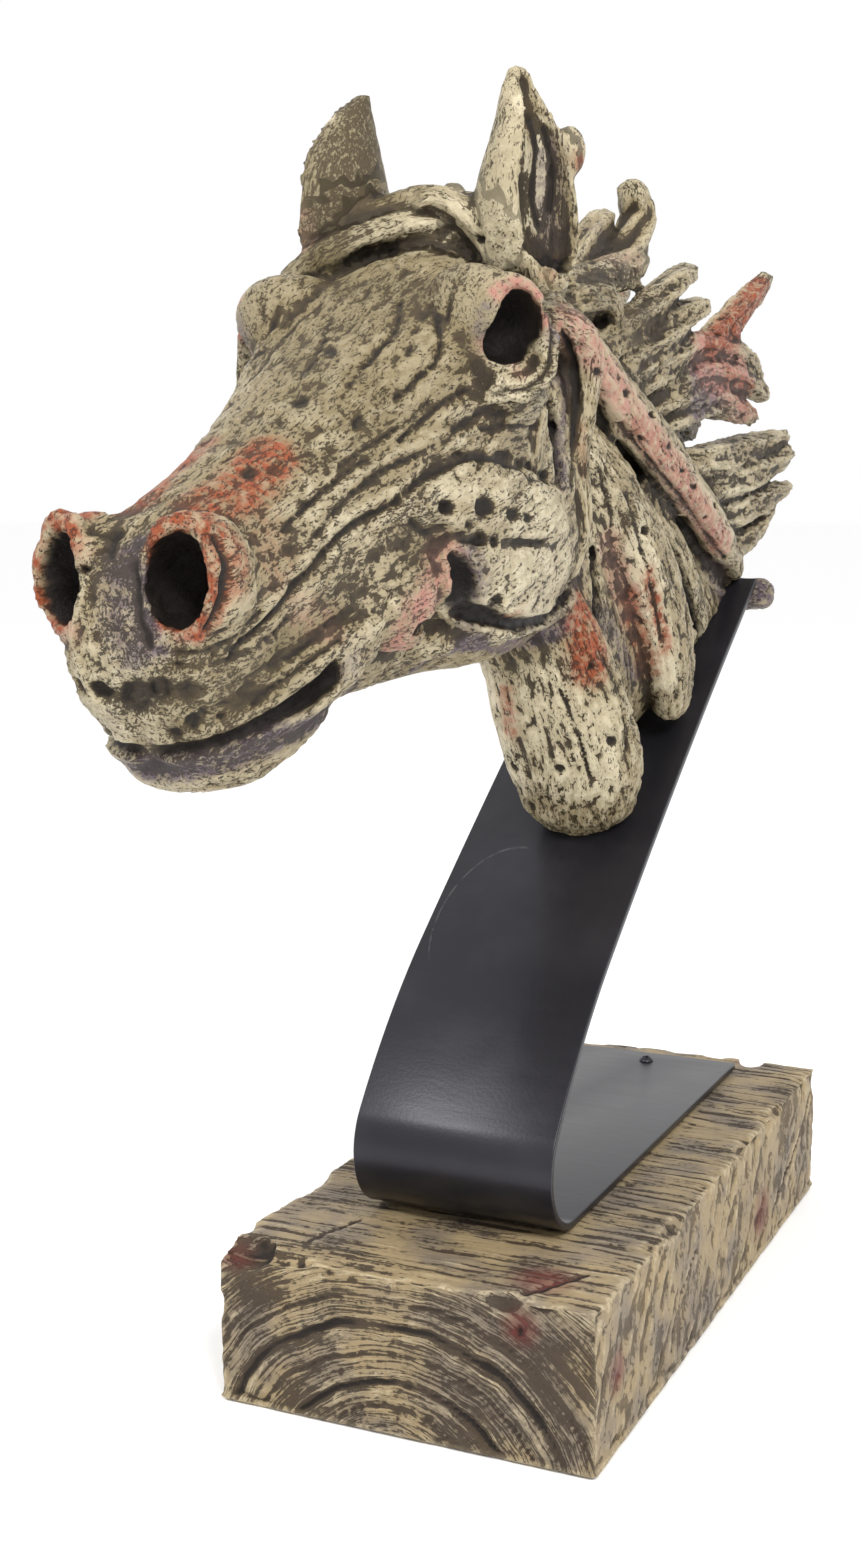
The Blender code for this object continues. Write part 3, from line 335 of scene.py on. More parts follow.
class HeadSettings(bpy.types.PropertyGroup):
    skin_voxel: FloatProperty(
        name="Skin voxel", description="Size of the cells that the skin is cast in",
        default=1.5 * MILLIMETRE, min=0.8 * MILLIMETRE, unit="LENGTH")
    triangles: IntProperty(
        name="Triangles", description="Triangles that the finished head is thinned to",
        default=188000, min=10000, max=199000)
    grain_depth: FloatProperty(
        name="Grain depth", description="How deep the grain is cut into the skin",
        default=0.8 * MILLIMETRE, unit="LENGTH")
    patch_depth: FloatProperty(
        name="Patch depth", description="How far the dark worn patches lie below the skin",
        default=0.5 * MILLIMETRE, unit="LENGTH")
    cream: FloatVectorProperty(
        name="Cream", description="Raised resin", subtype="COLOR", default=srgb(150, 135, 103))
    pale: FloatVectorProperty(
        name="Pale", description="Resin rubbed light", subtype="COLOR", default=srgb(202, 190, 160))
    olive: FloatVectorProperty(
        name="Olive", description="Toned resin", subtype="COLOR", default=srgb(120, 107, 75))
    umber: FloatVectorProperty(
        name="Umber", description="Dark wash in the grain", subtype="COLOR",
        default=srgb(55, 43, 24))
    faded: FloatVectorProperty(
        name="Faded umber", description="Dark wash on the toned resin", subtype="COLOR",
        default=srgb(73, 60, 38))
    # painted shade under overhangs and in creases, mixed with the dark wash in the furrows
    shade_and_wash: FloatVectorProperty(
        name="Gloom", description="Wash settled in the furrows", subtype="COLOR",
        default=srgb(27, 19, 10))
    # painted shade deep in the eye, nostril and ear holes
    hole_shade: FloatVectorProperty(
        name="Soot", description="Deep hollows", subtype="COLOR", default=srgb(24, 18, 15))
    orange: FloatVectorProperty(
        name="Orange", description="Terracotta wash", subtype="COLOR", default=srgb(146, 72, 38))
    pink: FloatVectorProperty(
        name="Pink", description="Pink wash", subtype="COLOR", default=srgb(176, 122, 108))
    violet: FloatVectorProperty(
        name="Violet", description="Violet grey wash", subtype="COLOR", default=srgb(100, 86, 92))


class BlockSettings(bpy.types.PropertyGroup):
    voxel: FloatProperty(
        name="Cell", description="Size of the cells of the block's skin",
        default=1.6 * MILLIMETRE, min=1.2 * MILLIMETRE, unit="LENGTH")
    arris: FloatProperty(
        name="Arris", description="Radius of the worn edges", default=2.4 * MILLIMETRE,
        unit="LENGTH")
    saw_depth: FloatProperty(
        name="Saw marks", description="Depth of the saw marks on the top",
        default=0.8 * MILLIMETRE, unit="LENGTH")
    cream: FloatVectorProperty(
        name="Cream", description="Worn light wood", subtype="COLOR", default=srgb(154, 135, 101))
    brown: FloatVectorProperty(
        name="Brown", description="Dark wood", subtype="COLOR", default=srgb(56, 43, 31))
    grey: FloatVectorProperty(
        name="Grey", description="Weathered grey", subtype="COLOR", default=srgb(112, 102, 92))
    pale: FloatVectorProperty(
        name="Pale", description="Wood rubbed light on the edges", subtype="COLOR",
        default=srgb(196, 180, 148))
    # painted shade in the block's hollows, mixed with the dark wash in its cracks and marks
    shade_and_wash: FloatVectorProperty(
        name="Gloom", description="Cracks and deep marks", subtype="COLOR",
        default=srgb(24, 17, 12))
    stain: FloatVectorProperty(
        name="Stain", description="Dark red stain", subtype="COLOR", default=srgb(96, 36, 32))


class SteelSettings(bpy.types.PropertyGroup):
    edge: FloatProperty(
        name="Edge", description="Radius of the strap's rounded edges",
        default=0.5 * MILLIMETRE, unit="LENGTH")
    colour: FloatVectorProperty(
        name="Colour", description="Blackened steel", subtype="COLOR", default=srgb(38, 37, 42))
    screw: FloatVectorProperty(
        name="Screw", description="Blackened screw", subtype="COLOR", default=srgb(46, 46, 50))
    scratch: FloatVectorProperty(
        name="Scratch", description="Bare steel in the scratch", subtype="COLOR",
        default=srgb(104, 100, 98))


class StageSettings(bpy.types.PropertyGroup):
    floor: FloatVectorProperty(
        name="Floor", description="Pale floor", subtype="COLOR", default=(0.98, 0.98, 0.98))
    surround: FloatProperty(
        name="Surround", description="Strength of the even light from all round", default=1.0)
    key_power: FloatProperty(
        name="Key light", description="Power of the soft light from the front right",
        default=21.0, subtype="POWER")
    front_power: FloatProperty(
        name="Front light", description="Power of the light that the strap's bend mirrors",
        default=10.0, subtype="POWER")


# Meshes


def shaped(mesh, steps):
    """The mesh after a chain of modifiers, each given as its type and its settings."""
    holder = bpy.data.objects.new("holder", mesh)
    bpy.context.scene.collection.objects.link(holder)
    for kind, settings in steps:
        step = holder.modifiers.new(kind.lower(), kind)
        for name, value in settings.items():
            setattr(step, name, value)
    bpy.context.view_layer.update()
    shown = holder.evaluated_get(bpy.context.evaluated_depsgraph_get())
    made = bpy.data.meshes.new_from_object(shown)
    bpy.data.objects.remove(holder)
    return made


def cut(mesh, tool, solver="EXACT"):
    """The mesh with another mesh taken away from it."""
    cutter = bpy.data.objects.new("tool", tool)
    bpy.context.scene.collection.objects.link(cutter)
    made = shaped(mesh, [("BOOLEAN", {"operation": "DIFFERENCE", "solver": solver,
                                      "object": cutter})])
    bpy.data.objects.remove(cutter)
    return made


def mesh_from(bm, name):
    """The forms as a mesh that faces outward; the forms are freed."""
    mesh = bpy.data.meshes.new(name)
    bmesh.ops.recalc_face_normals(bm, faces=bm.faces[:])
    bm.to_mesh(mesh)
    bm.free()
    return mesh


def points_of(mesh):
    """The places of the mesh's points, one row each."""
    values = np.empty(len(mesh.vertices) * 3, np.float32)
    mesh.vertices.foreach_get("co", values)
    return values.reshape(-1, 3).astype(float)


def normals_of(mesh):
    """The directions in which the mesh's points face, one row each."""
    values = np.empty(len(mesh.vertices) * 3, np.float32)
    mesh.vertex_normals.foreach_get("vector", values)
    return values.reshape(-1, 3).astype(float)


def set_points(mesh, points):
    mesh.vertices.foreach_set("co", points.astype(np.float32).ravel())
    mesh.update()


def surface_tree(mesh):
    """The mesh as a tree for nearest places and lines of sight."""
    faces = [tuple(face.vertices) for face in mesh.polygons]
    return BVHTree.FromPolygons([vert.co for vert in mesh.vertices], faces)


def store(mesh, name, values):
    """Keeps one number for each point of the mesh."""
    layer = mesh.attributes.new(name, "FLOAT", "POINT")
    layer.data.foreach_set("value", np.asarray(values, np.float32))


def store_vectors(mesh, name, values):
    """Keeps three numbers for each point of the mesh."""
    layer = mesh.attributes.new(name, "FLOAT_VECTOR", "POINT")
    layer.data.foreach_set("vector", np.asarray(values, np.float32).ravel())


def smooth_step(low, high, values):
    """0 below low and 1 above high, smooth between."""
    share = np.clip((values - low) / (high - low), 0.0, 1.0)
    return share * share * (3.0 - 2.0 * share)


PATH_REACH = 40.0            # past this a path has no bearing on a point
FAR = 1000.0


def path_distance(points, path):
    """Distance from each point to a line through the path, or FAR well away from it."""
    found = np.full(len(points), FAR)
    low = path.min(0) - PATH_REACH
    high = path.max(0) + PATH_REACH
    near = np.nonzero(((points > low) & (points < high)).all(1))[0]
    close = points[near]
    ends = path[1:] if len(path) > 1 else path
    for start, end in zip(path, ends):
        span = end - start
        length = max(float(span @ span), 1e-9)
        share = np.clip(((close - start) @ span) / length, 0.0, 1.0)
        gap = np.linalg.norm(close - start - share[:, None] * span, axis=1)
        found[near] = np.minimum(found[near], gap)
    return found


def noise_field(points, stretch, offset=0.0):
    """Noise between -1 and 1 at each point, stretched by three lengths."""
    scaled = points / np.array(stretch)
    scaled[:, 2] += offset
    value = noise.noise
    return np.array([value(spot) for spot in scaled.tolist()])


def dress(mesh, name, slot, finish, nodes):
    """A finished piece that rides on the part and stands for its CAD nodes."""
    mesh.name = name
    mesh.materials.clear()
    mesh.materials.append(finish)
    piece = bpy.data.objects.new(name, mesh)
    bpy.context.scene.collection.objects.link(piece)
    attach(piece, BODY)
    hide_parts(*nodes)
    return piece


# Paths


def smooth_path(points, steps):
    """Catmull-Rom curve through the points, any number of values each."""
    ends = [[2 * a - b for a, b in zip(points[0], points[1])],
            [2 * a - b for a, b in zip(points[-1], points[-2])]]
    padded = [ends[0]] + [list(p) for p in points] + [ends[1]]
    path = []
    for index in range(1, len(padded) - 2):
        p0, p1, p2, p3 = padded[index - 1:index + 3]
        for step in range(steps):
            t = step / steps
            path.append([0.5 * (2 * b + (c - a) * t + (2 * a - 5 * b + 4 * c - d) * t * t
                                + (3 * b - a - 3 * c + d) * t ** 3)
                         for a, b, c, d in zip(p0, p1, p2, p3)])
    path.append(list(points[-1]))
    return path


def frames(path, outward):
    """For each point of a path: its place, its direction, and the side that faces outward."""
    last = len(path) - 1
    found = []
    for index, point in enumerate(path):
        before = Vector(path[max(index - 1, 0)][:3])
        after = Vector(path[min(index + 1, last)][:3])
        along = (after - before).normalized()
        normal = outward - along * outward.dot(along)
        if normal.length < 0.05:
            normal = along.orthogonal()
        found.append((Vector(point[:3]), along, normal.normalized()))
    return found


class Strap:
    """The outer face of the strap in the YZ plane, from its foot's end to its top end."""

    def __init__(self, bend_steps, knee_steps, leg_steps):
        self.foot_end = BLOCK_LENGTH / 2 - FOOT_END_INSET
        self.floor = BLOCK_HEIGHT + GAP
        self.bend_start = self.foot_end - FOOT_LENGTH
        self.points = [(self.foot_end, self.floor), (self.bend_start, self.floor)]
        self.heading = math.pi
        self.arc(BEND_RADIUS, BEND_EXIT, bend_steps)
        self.arc(KNEE_RADIUS, KNEE_EXIT, knee_steps)
        self.arc(LEG_RADIUS, KNEE_EXIT - LEG_LENGTH / LEG_RADIUS, leg_steps)
        self.top = Vector((0.0, *self.points[-1]))

    def arc(self, radius, exit_heading, steps):
        """Turns towards the back, from the present heading to the next."""
        y, z = self.points[-1]
        centre = (y + radius * math.sin(self.heading), z - radius * math.cos(self.heading))
        for step in range(1, steps + 1):
            turn = self.heading + (exit_heading - self.heading) * step / steps
            self.points.append((centre[0] - radius * math.sin(turn),
                                centre[1] + radius * math.cos(turn)))
        self.heading = exit_heading

    def offset(self, distance, first=0):
        """The path moved off the outer face, away from the steel."""
        moved = []
        for index in range(first, len(self.points)):
            before = Vector(self.points[max(index - 1, 0)])
            after = Vector(self.points[min(index + 1, len(self.points) - 1)])
            along = (after - before).normalized()
            outward = Vector((-along.y, along.x))
            moved.append(Vector(self.points[index]) + outward * distance)
        return moved

    def screw_place(self):
        return Vector((0.0, self.foot_end - SCREW_FROM_END, self.floor + STRAP_THICKNESS))

    def canon(self):
        """Hangs the canon on the strap's top end and leans it with the rising leg."""
        lean = self.heading - SEAT_SLOPE
        return (Matrix.Translation(self.top) @ Matrix.Rotation(lean, 4, "X")
                @ Matrix.Scale(MILLIMETRE, 4) @ Matrix.Translation(-SEAT))


# Free forms, all in canon millimetres


class Carving:
    """Overlapping closed forms for one skin, and the grain that runs along its strands."""

    def __init__(self):
        self.bm = bmesh.new()
        self.grain = []
        self.strands = 0

    def mirror(self):
        """Doubles the forms and their grain, mirrored in the plane X = 0."""
        geom = self.bm.verts[:] + self.bm.edges[:] + self.bm.faces[:]
        copied = bmesh.ops.duplicate(self.bm, geom=geom)["geom"]
        verts = [item for item in copied if isinstance(item, bmesh.types.BMVert)]
        bmesh.ops.scale(self.bm, verts=verts, vec=(-1, 1, 1))
        flip = Matrix.Scale(-1, 3, (1, 0, 0))
        self.grain += [line._replace(place=flip @ line.place, along=flip @ line.along,
                                     side=flip @ line.side, normal=flip @ line.normal)
                       for line in self.grain]

    def skin(self, voxel, core=None):
        """One closed skin round all forms, and round the core if there is one."""
        if core:
            self.bm.from_mesh(core)
        mesh = mesh_from(self.bm, "forms")
        return shaped(mesh, [("REMESH", {"mode": "VOXEL", "voxel_size": voxel})])


def skull_point(x, forward, up):
    """A point of the skull: across, towards the muzzle and towards the brow."""
    cosine = math.cos(SKULL_PITCH)
    sine = math.sin(SKULL_PITCH)
    return SKULL_ORIGIN + Vector((x, -forward * cosine - up * sine, -forward * sine + up * cosine))


def power(value, exponent):
    """A power that keeps the value's sign."""
    return math.copysign(abs(value) ** exponent, value)


def closed_loop(bm, ring):
    """The edges of one closed ring of points."""
    verts = [bm.verts.new(point) for point in ring]
    return [bm.edges.new((verts[index - 1], verts[index])) for index in range(len(verts))]


def rings_to_skin(bm, rings):
    """Bridges closed rings of points and caps the two ends."""
    loops = [closed_loop(bm, ring) for ring in rings]
    for one, two in zip(loops, loops[1:]):
        bmesh.ops.bridge_loops(bm, edges=one + two)
    for loop in (loops[0], loops[-1]):
        bmesh.ops.contextual_create(bm, geom=loop)


def loft(work, sections, place, sides=48, steps=5):
    """Sections are (station, top, level, bottom, half width, fullness above, below)."""
    rings = []
    for station, top, level, bottom, half, above, below in smooth_path(sections, steps):
        ring = []
        for step in range(sides):
            angle = math.tau * step / sides
            across = math.cos(angle)
            rise = math.sin(angle)
            full = above if rise > 0 else below
            span = (top - level) if rise > 0 else (level - bottom)
            x = half * power(across, 2.0 / full)
            ring.append(place(x, station, level + span * power(rise, 2.0 / full)))
        rings.append(ring)
    rings_to_skin(work.bm, rings)


def strand(work, points, face=(1.0, 0.0, 0.0), flat=1.0, twist=0.0, sides=16, steps=5, ribs=0,
           grain=True):
    """A tapered strand through points (x, y, z, half width).

    face is the side that it turns outwards, flat its thickness as a share of its width, twist
    turns it about its own length, in degrees, and ribs run along it.
    """
    path = smooth_path(points, steps)
    last = len(path) - 1
    sides = max(sides, 8 * ribs)
    work.strands += 1
    distance = 0.0
    rings = []
    for index, (centre, along, normal) in enumerate(frames(path, Vector(face).normalized())):
        half = path[index][3]
        normal = Matrix.Rotation(math.radians(twist) * index / last, 3, along) @ normal
        side = along.cross(normal)
        ring = []
        for step in range(sides):
            angle = math.tau * step / sides
            reach = half * (1.0 + (RIB_HEIGHT * math.cos(ribs * angle) if ribs else 0.0))
            ring.append(centre + side * (reach * math.cos(angle))
                        + normal * (reach * flat * math.sin(angle)))
        if index:
            distance += (centre - Vector(path[index - 1][:3])).length
        if grain:
            work.grain.append(Grain(centre, along, side, normal, half, distance, work.strands))
        if index not in (0, last):
            rings.append(ring)
            continue
        ahead = along * (half * TIP_SHARE * (1 if index else -1))
        tip = [centre + ahead + (point - centre) * TIP_SHARE for point in ring]
        rings.extend([ring, tip] if index else [tip, ring])
    rings_to_skin(work.bm, rings)


def rope(work, points, cords, turns, half):
    """Cords wound round a path through points (x, y, z, how far they lie from it)."""
    path = smooth_path(points, 4)
    last = len(path) - 1
    for cord in range(cords):
        wound = []
        for index, (centre, along, normal) in enumerate(frames(path, Vector((0.0, -0.6, 0.8)))):
            angle = math.tau * (cord / cords + turns * index / last)
            side = along.cross(normal)
            away = normal * math.cos(angle) + side * math.sin(angle)
            wound.append((*(centre + away * path[index][3]), half))
        strand(work, wound, sides=14, steps=1, ribs=4)


def lump(work, centre, radii, turn=(0.0, 0.0, 0.0), detail=4):
    """An ellipsoid with its radii along X, Y and Z, turned by degrees about X, Y and Z."""
    angles = [math.radians(value) for value in turn]
    spin = (Matrix.Rotation(angles[2], 4, "Z") @ Matrix.Rotation(angles[1], 4, "Y")
            @ Matrix.Rotation(angles[0], 4, "X"))
    place = Matrix.Translation(centre) @ spin @ Matrix.Diagonal((*radii, 1.0))
    bmesh.ops.create_icosphere(work.bm, subdivisions=detail, radius=1.0, matrix=place)


def hoop(work, centre, facing, wide, high, thick, start=0.0, sweep=360.0, sides=14):
    """A rim bent round an ellipse that faces along a direction, open or closed."""
    right = Vector((0, 0, 1)).cross(facing).normalized()
    up = facing.cross(right)
    count = max(12, round(sweep / 8))
    closed = sweep >= 360.0
    rings = []
    for step in range(count + (0 if closed else 1)):
        turn = math.radians(start + sweep * step / count)
        spoke = right * (wide * math.cos(turn)) + up * (high * math.sin(turn))
        outward = spoke.normalized()
        around = [math.tau * side / sides for side in range(sides)]
        rings.append([centre + spoke + outward * (thick * math.cos(angle))
                      + facing * (thick * math.sin(angle)) for angle in around])
    if not closed:
        rings_to_skin(work.bm, rings)
        return
    loops = [closed_loop(work.bm, ring) for ring in rings]
    for index, loop in enumerate(loops):
        bmesh.ops.bridge_loops(work.bm, edges=loops[index - 1] + loop)


def pressed(tree, points, sunk):
    """Each point (x, y, z, half) moves to the nearest place on the skin, then under it."""
    moved = []
    for x, y, z, half in points:
        place, normal, _, _ = tree.find_nearest(Vector((x, y, z)))
        moved.append((*(place - normal * sunk), half))
    return moved


# Head: the masses that the carving lies on


def skull_form(work):
    skull = (
        # station, top, level, bottom, half width, fullness above and below
        (-92, 30, -30, -52, 16, 2.0, 2.0),
        (-82, 46, -30, -66, 29, 2.0, 2.2),
        (-58, 58, -28, -78, 37, 2.1, 2.3),
        (-30, 63, -22, -80, 40, 2.3, 2.4),
        (0, 61, 10, -72, 42, 2.7, 2.4),
        (30, 54, 8, -58, 39, 2.8, 2.2),
        (60, 47, 2, -46, 34, 2.7, 2.2),
        (95, 39, -2, -34, 29, 2.5, 2.4),
        (125, 34, 0, -30, 26, 2.3, 2.4),
        (148, 31, 6, -31, 26, 2.2, 2.3),
        (164, 28, 8, -32, 25, 2.2, 2.3),
        (175, 23, 4, -29, 22, 2.2, 2.3),
        (182, 13, -2, -21, 17, 2.2, 2.2),
        (186, 4, -5, -13, 11, 2.0, 2.0),
    )
    loft(work, skull, skull_point)
    jaw = (
        (-70, -40, -58, -76, 20, 2.0, 2.0),
        (-50, -34, -60, -86, 28, 2.0, 2.2),
        (-14, -28, -56, -80, 29, 2.0, 2.2),
        (30, -20, -44, -66, 24, 2.0, 2.2),
        (70, -16, -38, -56, 19, 2.0, 2.2),
        (96, -22, -38, -51, 17, 2.0, 2.2),
        (116, -29, -40, -53, 20, 2.0, 2.4),
        (145, -29, -41, -52, 21, 2.2, 2.4),
        (164, -28, -38, -47, 17, 2.2, 2.2),
        (174, -30, -36, -41, 10, 2.0, 2.0),
    )
    loft(work, jaw, skull_point)


def brow_form(work):
    """The socket that stands out from the side, and the slope from it down to the nose."""
    lump(work, (31, -163, 385), (20, 27, 19), (-20, 0, 14))
    lump(work, (33, -154, 371), (18, 25, 22), (0, 0, 10))
    slope = [(31, -166, 387, 13), (27, -194, 372, 11), (21, -224, 356, 8), (18, -250, 345, 5)]
    strand(work, slope, (0.8, -0.1, 0.6), 0.7, grain=False)


def cheek_form(work):
    lump(work, (29, -128, 314), (15, 64, 27), (8, 0, 3))
    lump(work, (30, -160, 316), (13, 40, 23), (10, 0, 5))
    # front muscle of the cheek, down to the corner of the mouth
    muscle = [(19, -252, 300, 9), (22, -230, 302, 15), (25, -207, 303, 18), (25, -199, 304, 13)]
    strand(work, muscle, (1, 0, 0), 0.6, grain=False)


def muzzle_form(work):
    lump(work, skull_point(16, 162, 14), (14, 20, 18), (0, 0, 12))
    hoop(work, skull_point(*NOSTRIL), NOSTRIL_FACING, 9.4, 14.4, 3.4)
    lip = [(4, -312, 268, 6), (15, -301, 269, 7), (21, -276, 275, 7.5), (24, -250, 284, 8.5),
           (25, -232, 291, 7)]
    strand(work, lip, (1, 0, 0), 0.8, grain=False)


def upright(x, station, height):
    return Vector((x, station, height))


def neck_form(work):
    core = (
        (-118, 412, 360, 300, 24, 2.2, 2.2),
        (-90, 408, 350, 285, 29, 2.2, 2.2),
        (-50, 395, 330, 262, 31, 2.2, 2.2),
        (-10, 376, 305, 225, 30, 2.2, 2.2),
        (40, 354, 290, 225, 29, 2.2, 2.2),
        (90, 330, 285, 245, 29, 2.2, 2.2),
        (130, 313, 285, 265, 29, 2.2, 2.2),
        (158, 301, 286, 274, 27, 2.2, 2.2),
        (165, 294, 286, 278, 20, 2.0, 2.0),
    )
    loft(work, core, upright)
    # throat slab that comes down on the strap
    throat = [(8, -70, 300, 19), (10, -50, 277, 24), (10, -30, 252, 27.5), (10, -12, 228, 28.5),
              (7, 2, 207, 24)]
    strand(work, throat, (0.2, -0.9, -0.2), 0.6, sides=24)
    # bed of the mane, between its two rows of locks
    bed = (
        (-96, 412, 380, 330, 18, 2.2, 2.2),
        (-60, 416, 380, 330, 23, 2.2, 2.2),
        (-20, 415, 375, 320, 23, 2.2, 2.2),
        (20, 409, 365, 310, 23, 2.2, 2.2),
        (60, 398, 350, 300, 22, 2.2, 2.2),
        (100, 378, 335, 292, 21, 2.2, 2.2),
        (140, 350, 318, 290, 18, 2.2, 2.2),
        (168, 328, 306, 288, 13, 2.0, 2.0),
    )
    loft(work, bed, upright)


def neck_slabs(work):
    """Long slabs that lie on each side of the neck and run down to the strap."""
    second = [(27, -58, 352, 12), (31, -26, 330, 16), (33, 8, 302, 18), (33, 38, 268, 17),
              (31, 54, 246, 13)]
    strand(work, second, (1, -0.15, 0), 0.6, sides=20)
    third = [(26, 10, 334, 10), (29, 55, 306, 13), (29, 90, 278, 13)]
    strand(work, third, (1, 0, 0), 0.5, sides=20)
    crest = [(29, -92, 398, 8), (32, -62, 384, 12), (33.5, -30, 368, 14), (34.5, 10, 353, 15),
             (33.5, 60, 335, 14), (32, 108, 317, 13), (29, 150, 301, 9)]
    strand(work, crest, (1, 0, 0.45), 0.6, sides=20)
    # roll of resin behind the strap's top end
    roll = [(14, 158, 289, 8), (30, 160, 287, 8.5), (42, 161, 286.5, 8)]
    strand(work, roll, (0, 1, 0), sides=20)


# Head: carving that lies on the masses


def relief_forms(work, tree):
    # plate below the eye, pointed towards the nose
    plate = [(41, -240, 328, 3), (41, -222, 330, 8), (42, -198, 331, 11), (43, -160, 331, 12.5),
             (43, -126, 328, 11), (42, -108, 326, 6)]
    strand(work, pressed(tree, plate, 0.5), (1, -0.15, 0.15), 0.5, grain=False)
    # ridge that runs from behind the eye down the back of the cheek
    ridge = [(38, -108, 403, 5), (40, -92, 390, 7.5), (41, -79, 372, 8.5), (41, -74, 350, 8.5),
             (41, -75, 322, 8), (40, -82, 302, 6)]
    strand(work, pressed(tree, ridge, 2.5), (1, 0, 0), 0.9)
    # band of skin between the eye and that ridge
    band = [(47, -148, 398, 3.5), (48, -142, 380, 5), (47, -137, 362, 6), (46, -133, 346, 5)]
    strand(work, pressed(tree, band, 3.0), (1, 0, 0), 0.8)
    # edge of the lower jaw
    edge = [(24, -216, 277, 5), (32, -188, 279, 6.5), (36, -150, 279, 7.5), (39, -110, 279, 8.5),
            (40, -82, 285, 8.5), (39, -66, 297, 6)]
    strand(work, pressed(tree, edge, 4.0), (1, 0, 0), 0.9, grain=False)
    # smooth side of the upper lip
    side = [(20, -290, 281, 5), (25, -265, 287, 7), (27, -245, 293, 7), (27, -228, 297, 5)]
    strand(work, pressed(tree, side, 3.0), (1, 0, 0), 0.8, grain=False)
    # lids: a thick rim above and behind the eye, a rolled fold below and behind it
    hoop(work, EYE, EYE_FACING, 12.0, 14.5, 3.8, start=-30, sweep=150)
    hoop(work, EYE - EYE_FACING + Vector((0, 0, -4)), EYE_FACING, 14.5, 16.0, 4.6,
         start=-120, sweep=130)


def ear_facing(side):
    return Vector((side * EAR_FACING.x, EAR_FACING.y, EAR_FACING.z))


def ear_spine(spine, side, outward=0.0):
    """The middle line of an ear, moved outward by a share of its half width."""
    found = []
    for share, across, y, half in spine:
        spot = Vector((side * across, y, EAR_FOOT + (EAR_TIP - EAR_FOOT) * share))
        found.append((spot + ear_facing(side) * half * outward, half))
    return found


def ear_form(work, spine, side):
    points = [(*spot, half) for spot, half in ear_spine(spine, side)]
    strand(work, points, ear_facing(side), 0.95, sides=24)


def ear_hollow(work, spine, side):
    inner = ear_spine(spine, side, outward=EAR_HOLLOW_SHARE)[1:-1]
    points = [(*spot, max(half - EAR_WALL, half * 0.5)) for spot, half in inner]
    strand(work, points, ear_facing(side), 1.15, sides=24)


def ear_knob(work):
    """A knob on the back rim of the left ear."""
    lump(work, (43.5, -115, 446), (6, 6, 9), (-12, 0, 0))


def forelock_form(work):
    """Twisted cords that cross the head in front of the ears, and a knot on the top."""
    path = [(-43, -148, 402, 3.0), (-31, -144, 411, 5.5), (-14, -134, 421, 7.0),
            (0, -129, 425, 7.5), (14, -127, 422, 7.5), (28, -127, 414, 6.5),
            (39, -131, 406, 5.0), (45, -137, 399, 3.0)]
    rope(work, path, 4, 0.6, 5.0)
    lump(work, (3, -118, 434), (5, 5, 5))


# Locks of one side, from the poll to the withers: half width, twist in degrees, how far across
# they start and spread, then their (y, z) points
MANE = (
    # hook that stands up behind the ear, and the light band in front of its foot
    (10.0, 30, MANE_ROOT, 18, ((-48, 402), (-20, 414), (8, 422), (26, 434), (33, 446), (26, 456))),
    (8.0, 0, 14, 10, ((-40, 406), (-16, 424), (4, 437), (20, 443))),
    (7.0, 0, MANE_ROOT, 24, ((-86, 402), (-56, 409), (-24, 415), (6, 419), (24, 426))),
    # curls under the hook, swept up to one blunt tip
    (6.5, 0, MANE_ROOT, 31, ((-84, 395), (-58, 403), (-37, 406), (-27, 401))),
    (8.5, 60, MANE_ROOT, 32, ((-62, 384), (-34, 388), (0, 400), (26, 411), (46, 420), (62, 426))),
    (8.5, 60, MANE_ROOT, 36, ((-52, 375), (-20, 379), (10, 389), (34, 399), (54, 408), (68, 412))),
    (8.0, 40, MANE_ROOT, 35, ((-26, 369), (4, 377), (28, 385), (50, 392), (70, 398))),
    # horn
    (8.5, 0, MANE_ROOT, 35, ((40, 368), (76, 384), (108, 402), (146, 420), (173, 433))),
    # short thick locks below the horn
    (8.5, 60, MANE_ROOT, 37, ((-6, 370), (30, 383), (66, 393), (108, 396), (138, 393), (153, 387))),
    (8.0, 50, MANE_ROOT, 40, ((4, 363), (40, 374), (80, 384), (122, 384), (155, 379))),
    (8.0, 40, MANE_ROOT, 39, ((20, 357), (52, 366), (86, 373), (118, 371), (138, 368))),
    # low fan
    (8.0, 20, MANE_ROOT, 38, ((52, 344), (90, 347), (130, 352), (170, 357), (201, 361))),
    (8.0, 20, MANE_ROOT, 41, ((64, 334), (104, 336), (144, 341), (178, 347), (202, 353))),
    (8.0, 20, MANE_ROOT, 38, ((84, 324), (124, 322), (162, 328), (188, 333), (210, 337))),
    (6.5, 0, MANE_ROOT, 35, ((104, 312), (142, 308), (170, 315), (194, 326))),
)
# Locks that lie along the middle, between the two sides
MIDDLE_MANE = (
    (12.0, 0, 0, 0, ((10, 396), (56, 400), (100, 398), (130, 391))),
    (12.0, 0, 0, 0, ((60, 376), (104, 378), (142, 373), (170, 364))),
    (11.0, 0, 0, 0, ((104, 344), (140, 345), (174, 341), (194, 336))),
)
LOCK_TURN = 50               # a lock's turn about its own length, before its twist
LOCK_TAPER = 0.42            # share of its half width that a lock loses on its way


def lock(work, half, twist, root, out, path):
    """A ribbed lock of the mane, which spreads from the root to out in X."""
    last = len(path) - 1
    points = []
    for index, (y, z) in enumerate(path):
        share = index / last
        x = root + (out - root) * math.sqrt(share)
        points.append((x, y, z, half * (1.0 - LOCK_TAPER * share ** 3)))
    strand(work, points, (1, 0, 0.3), LOCK_FLATNESS, LOCK_TURN + twist, ribs=LOCK_RIBS)


def mane_locks(work):
    for numbers in MANE:
        lock(work, *numbers)


def middle_locks(work):
    for numbers in MIDDLE_MANE:
        lock(work, *numbers)


# Head: what is hollowed out


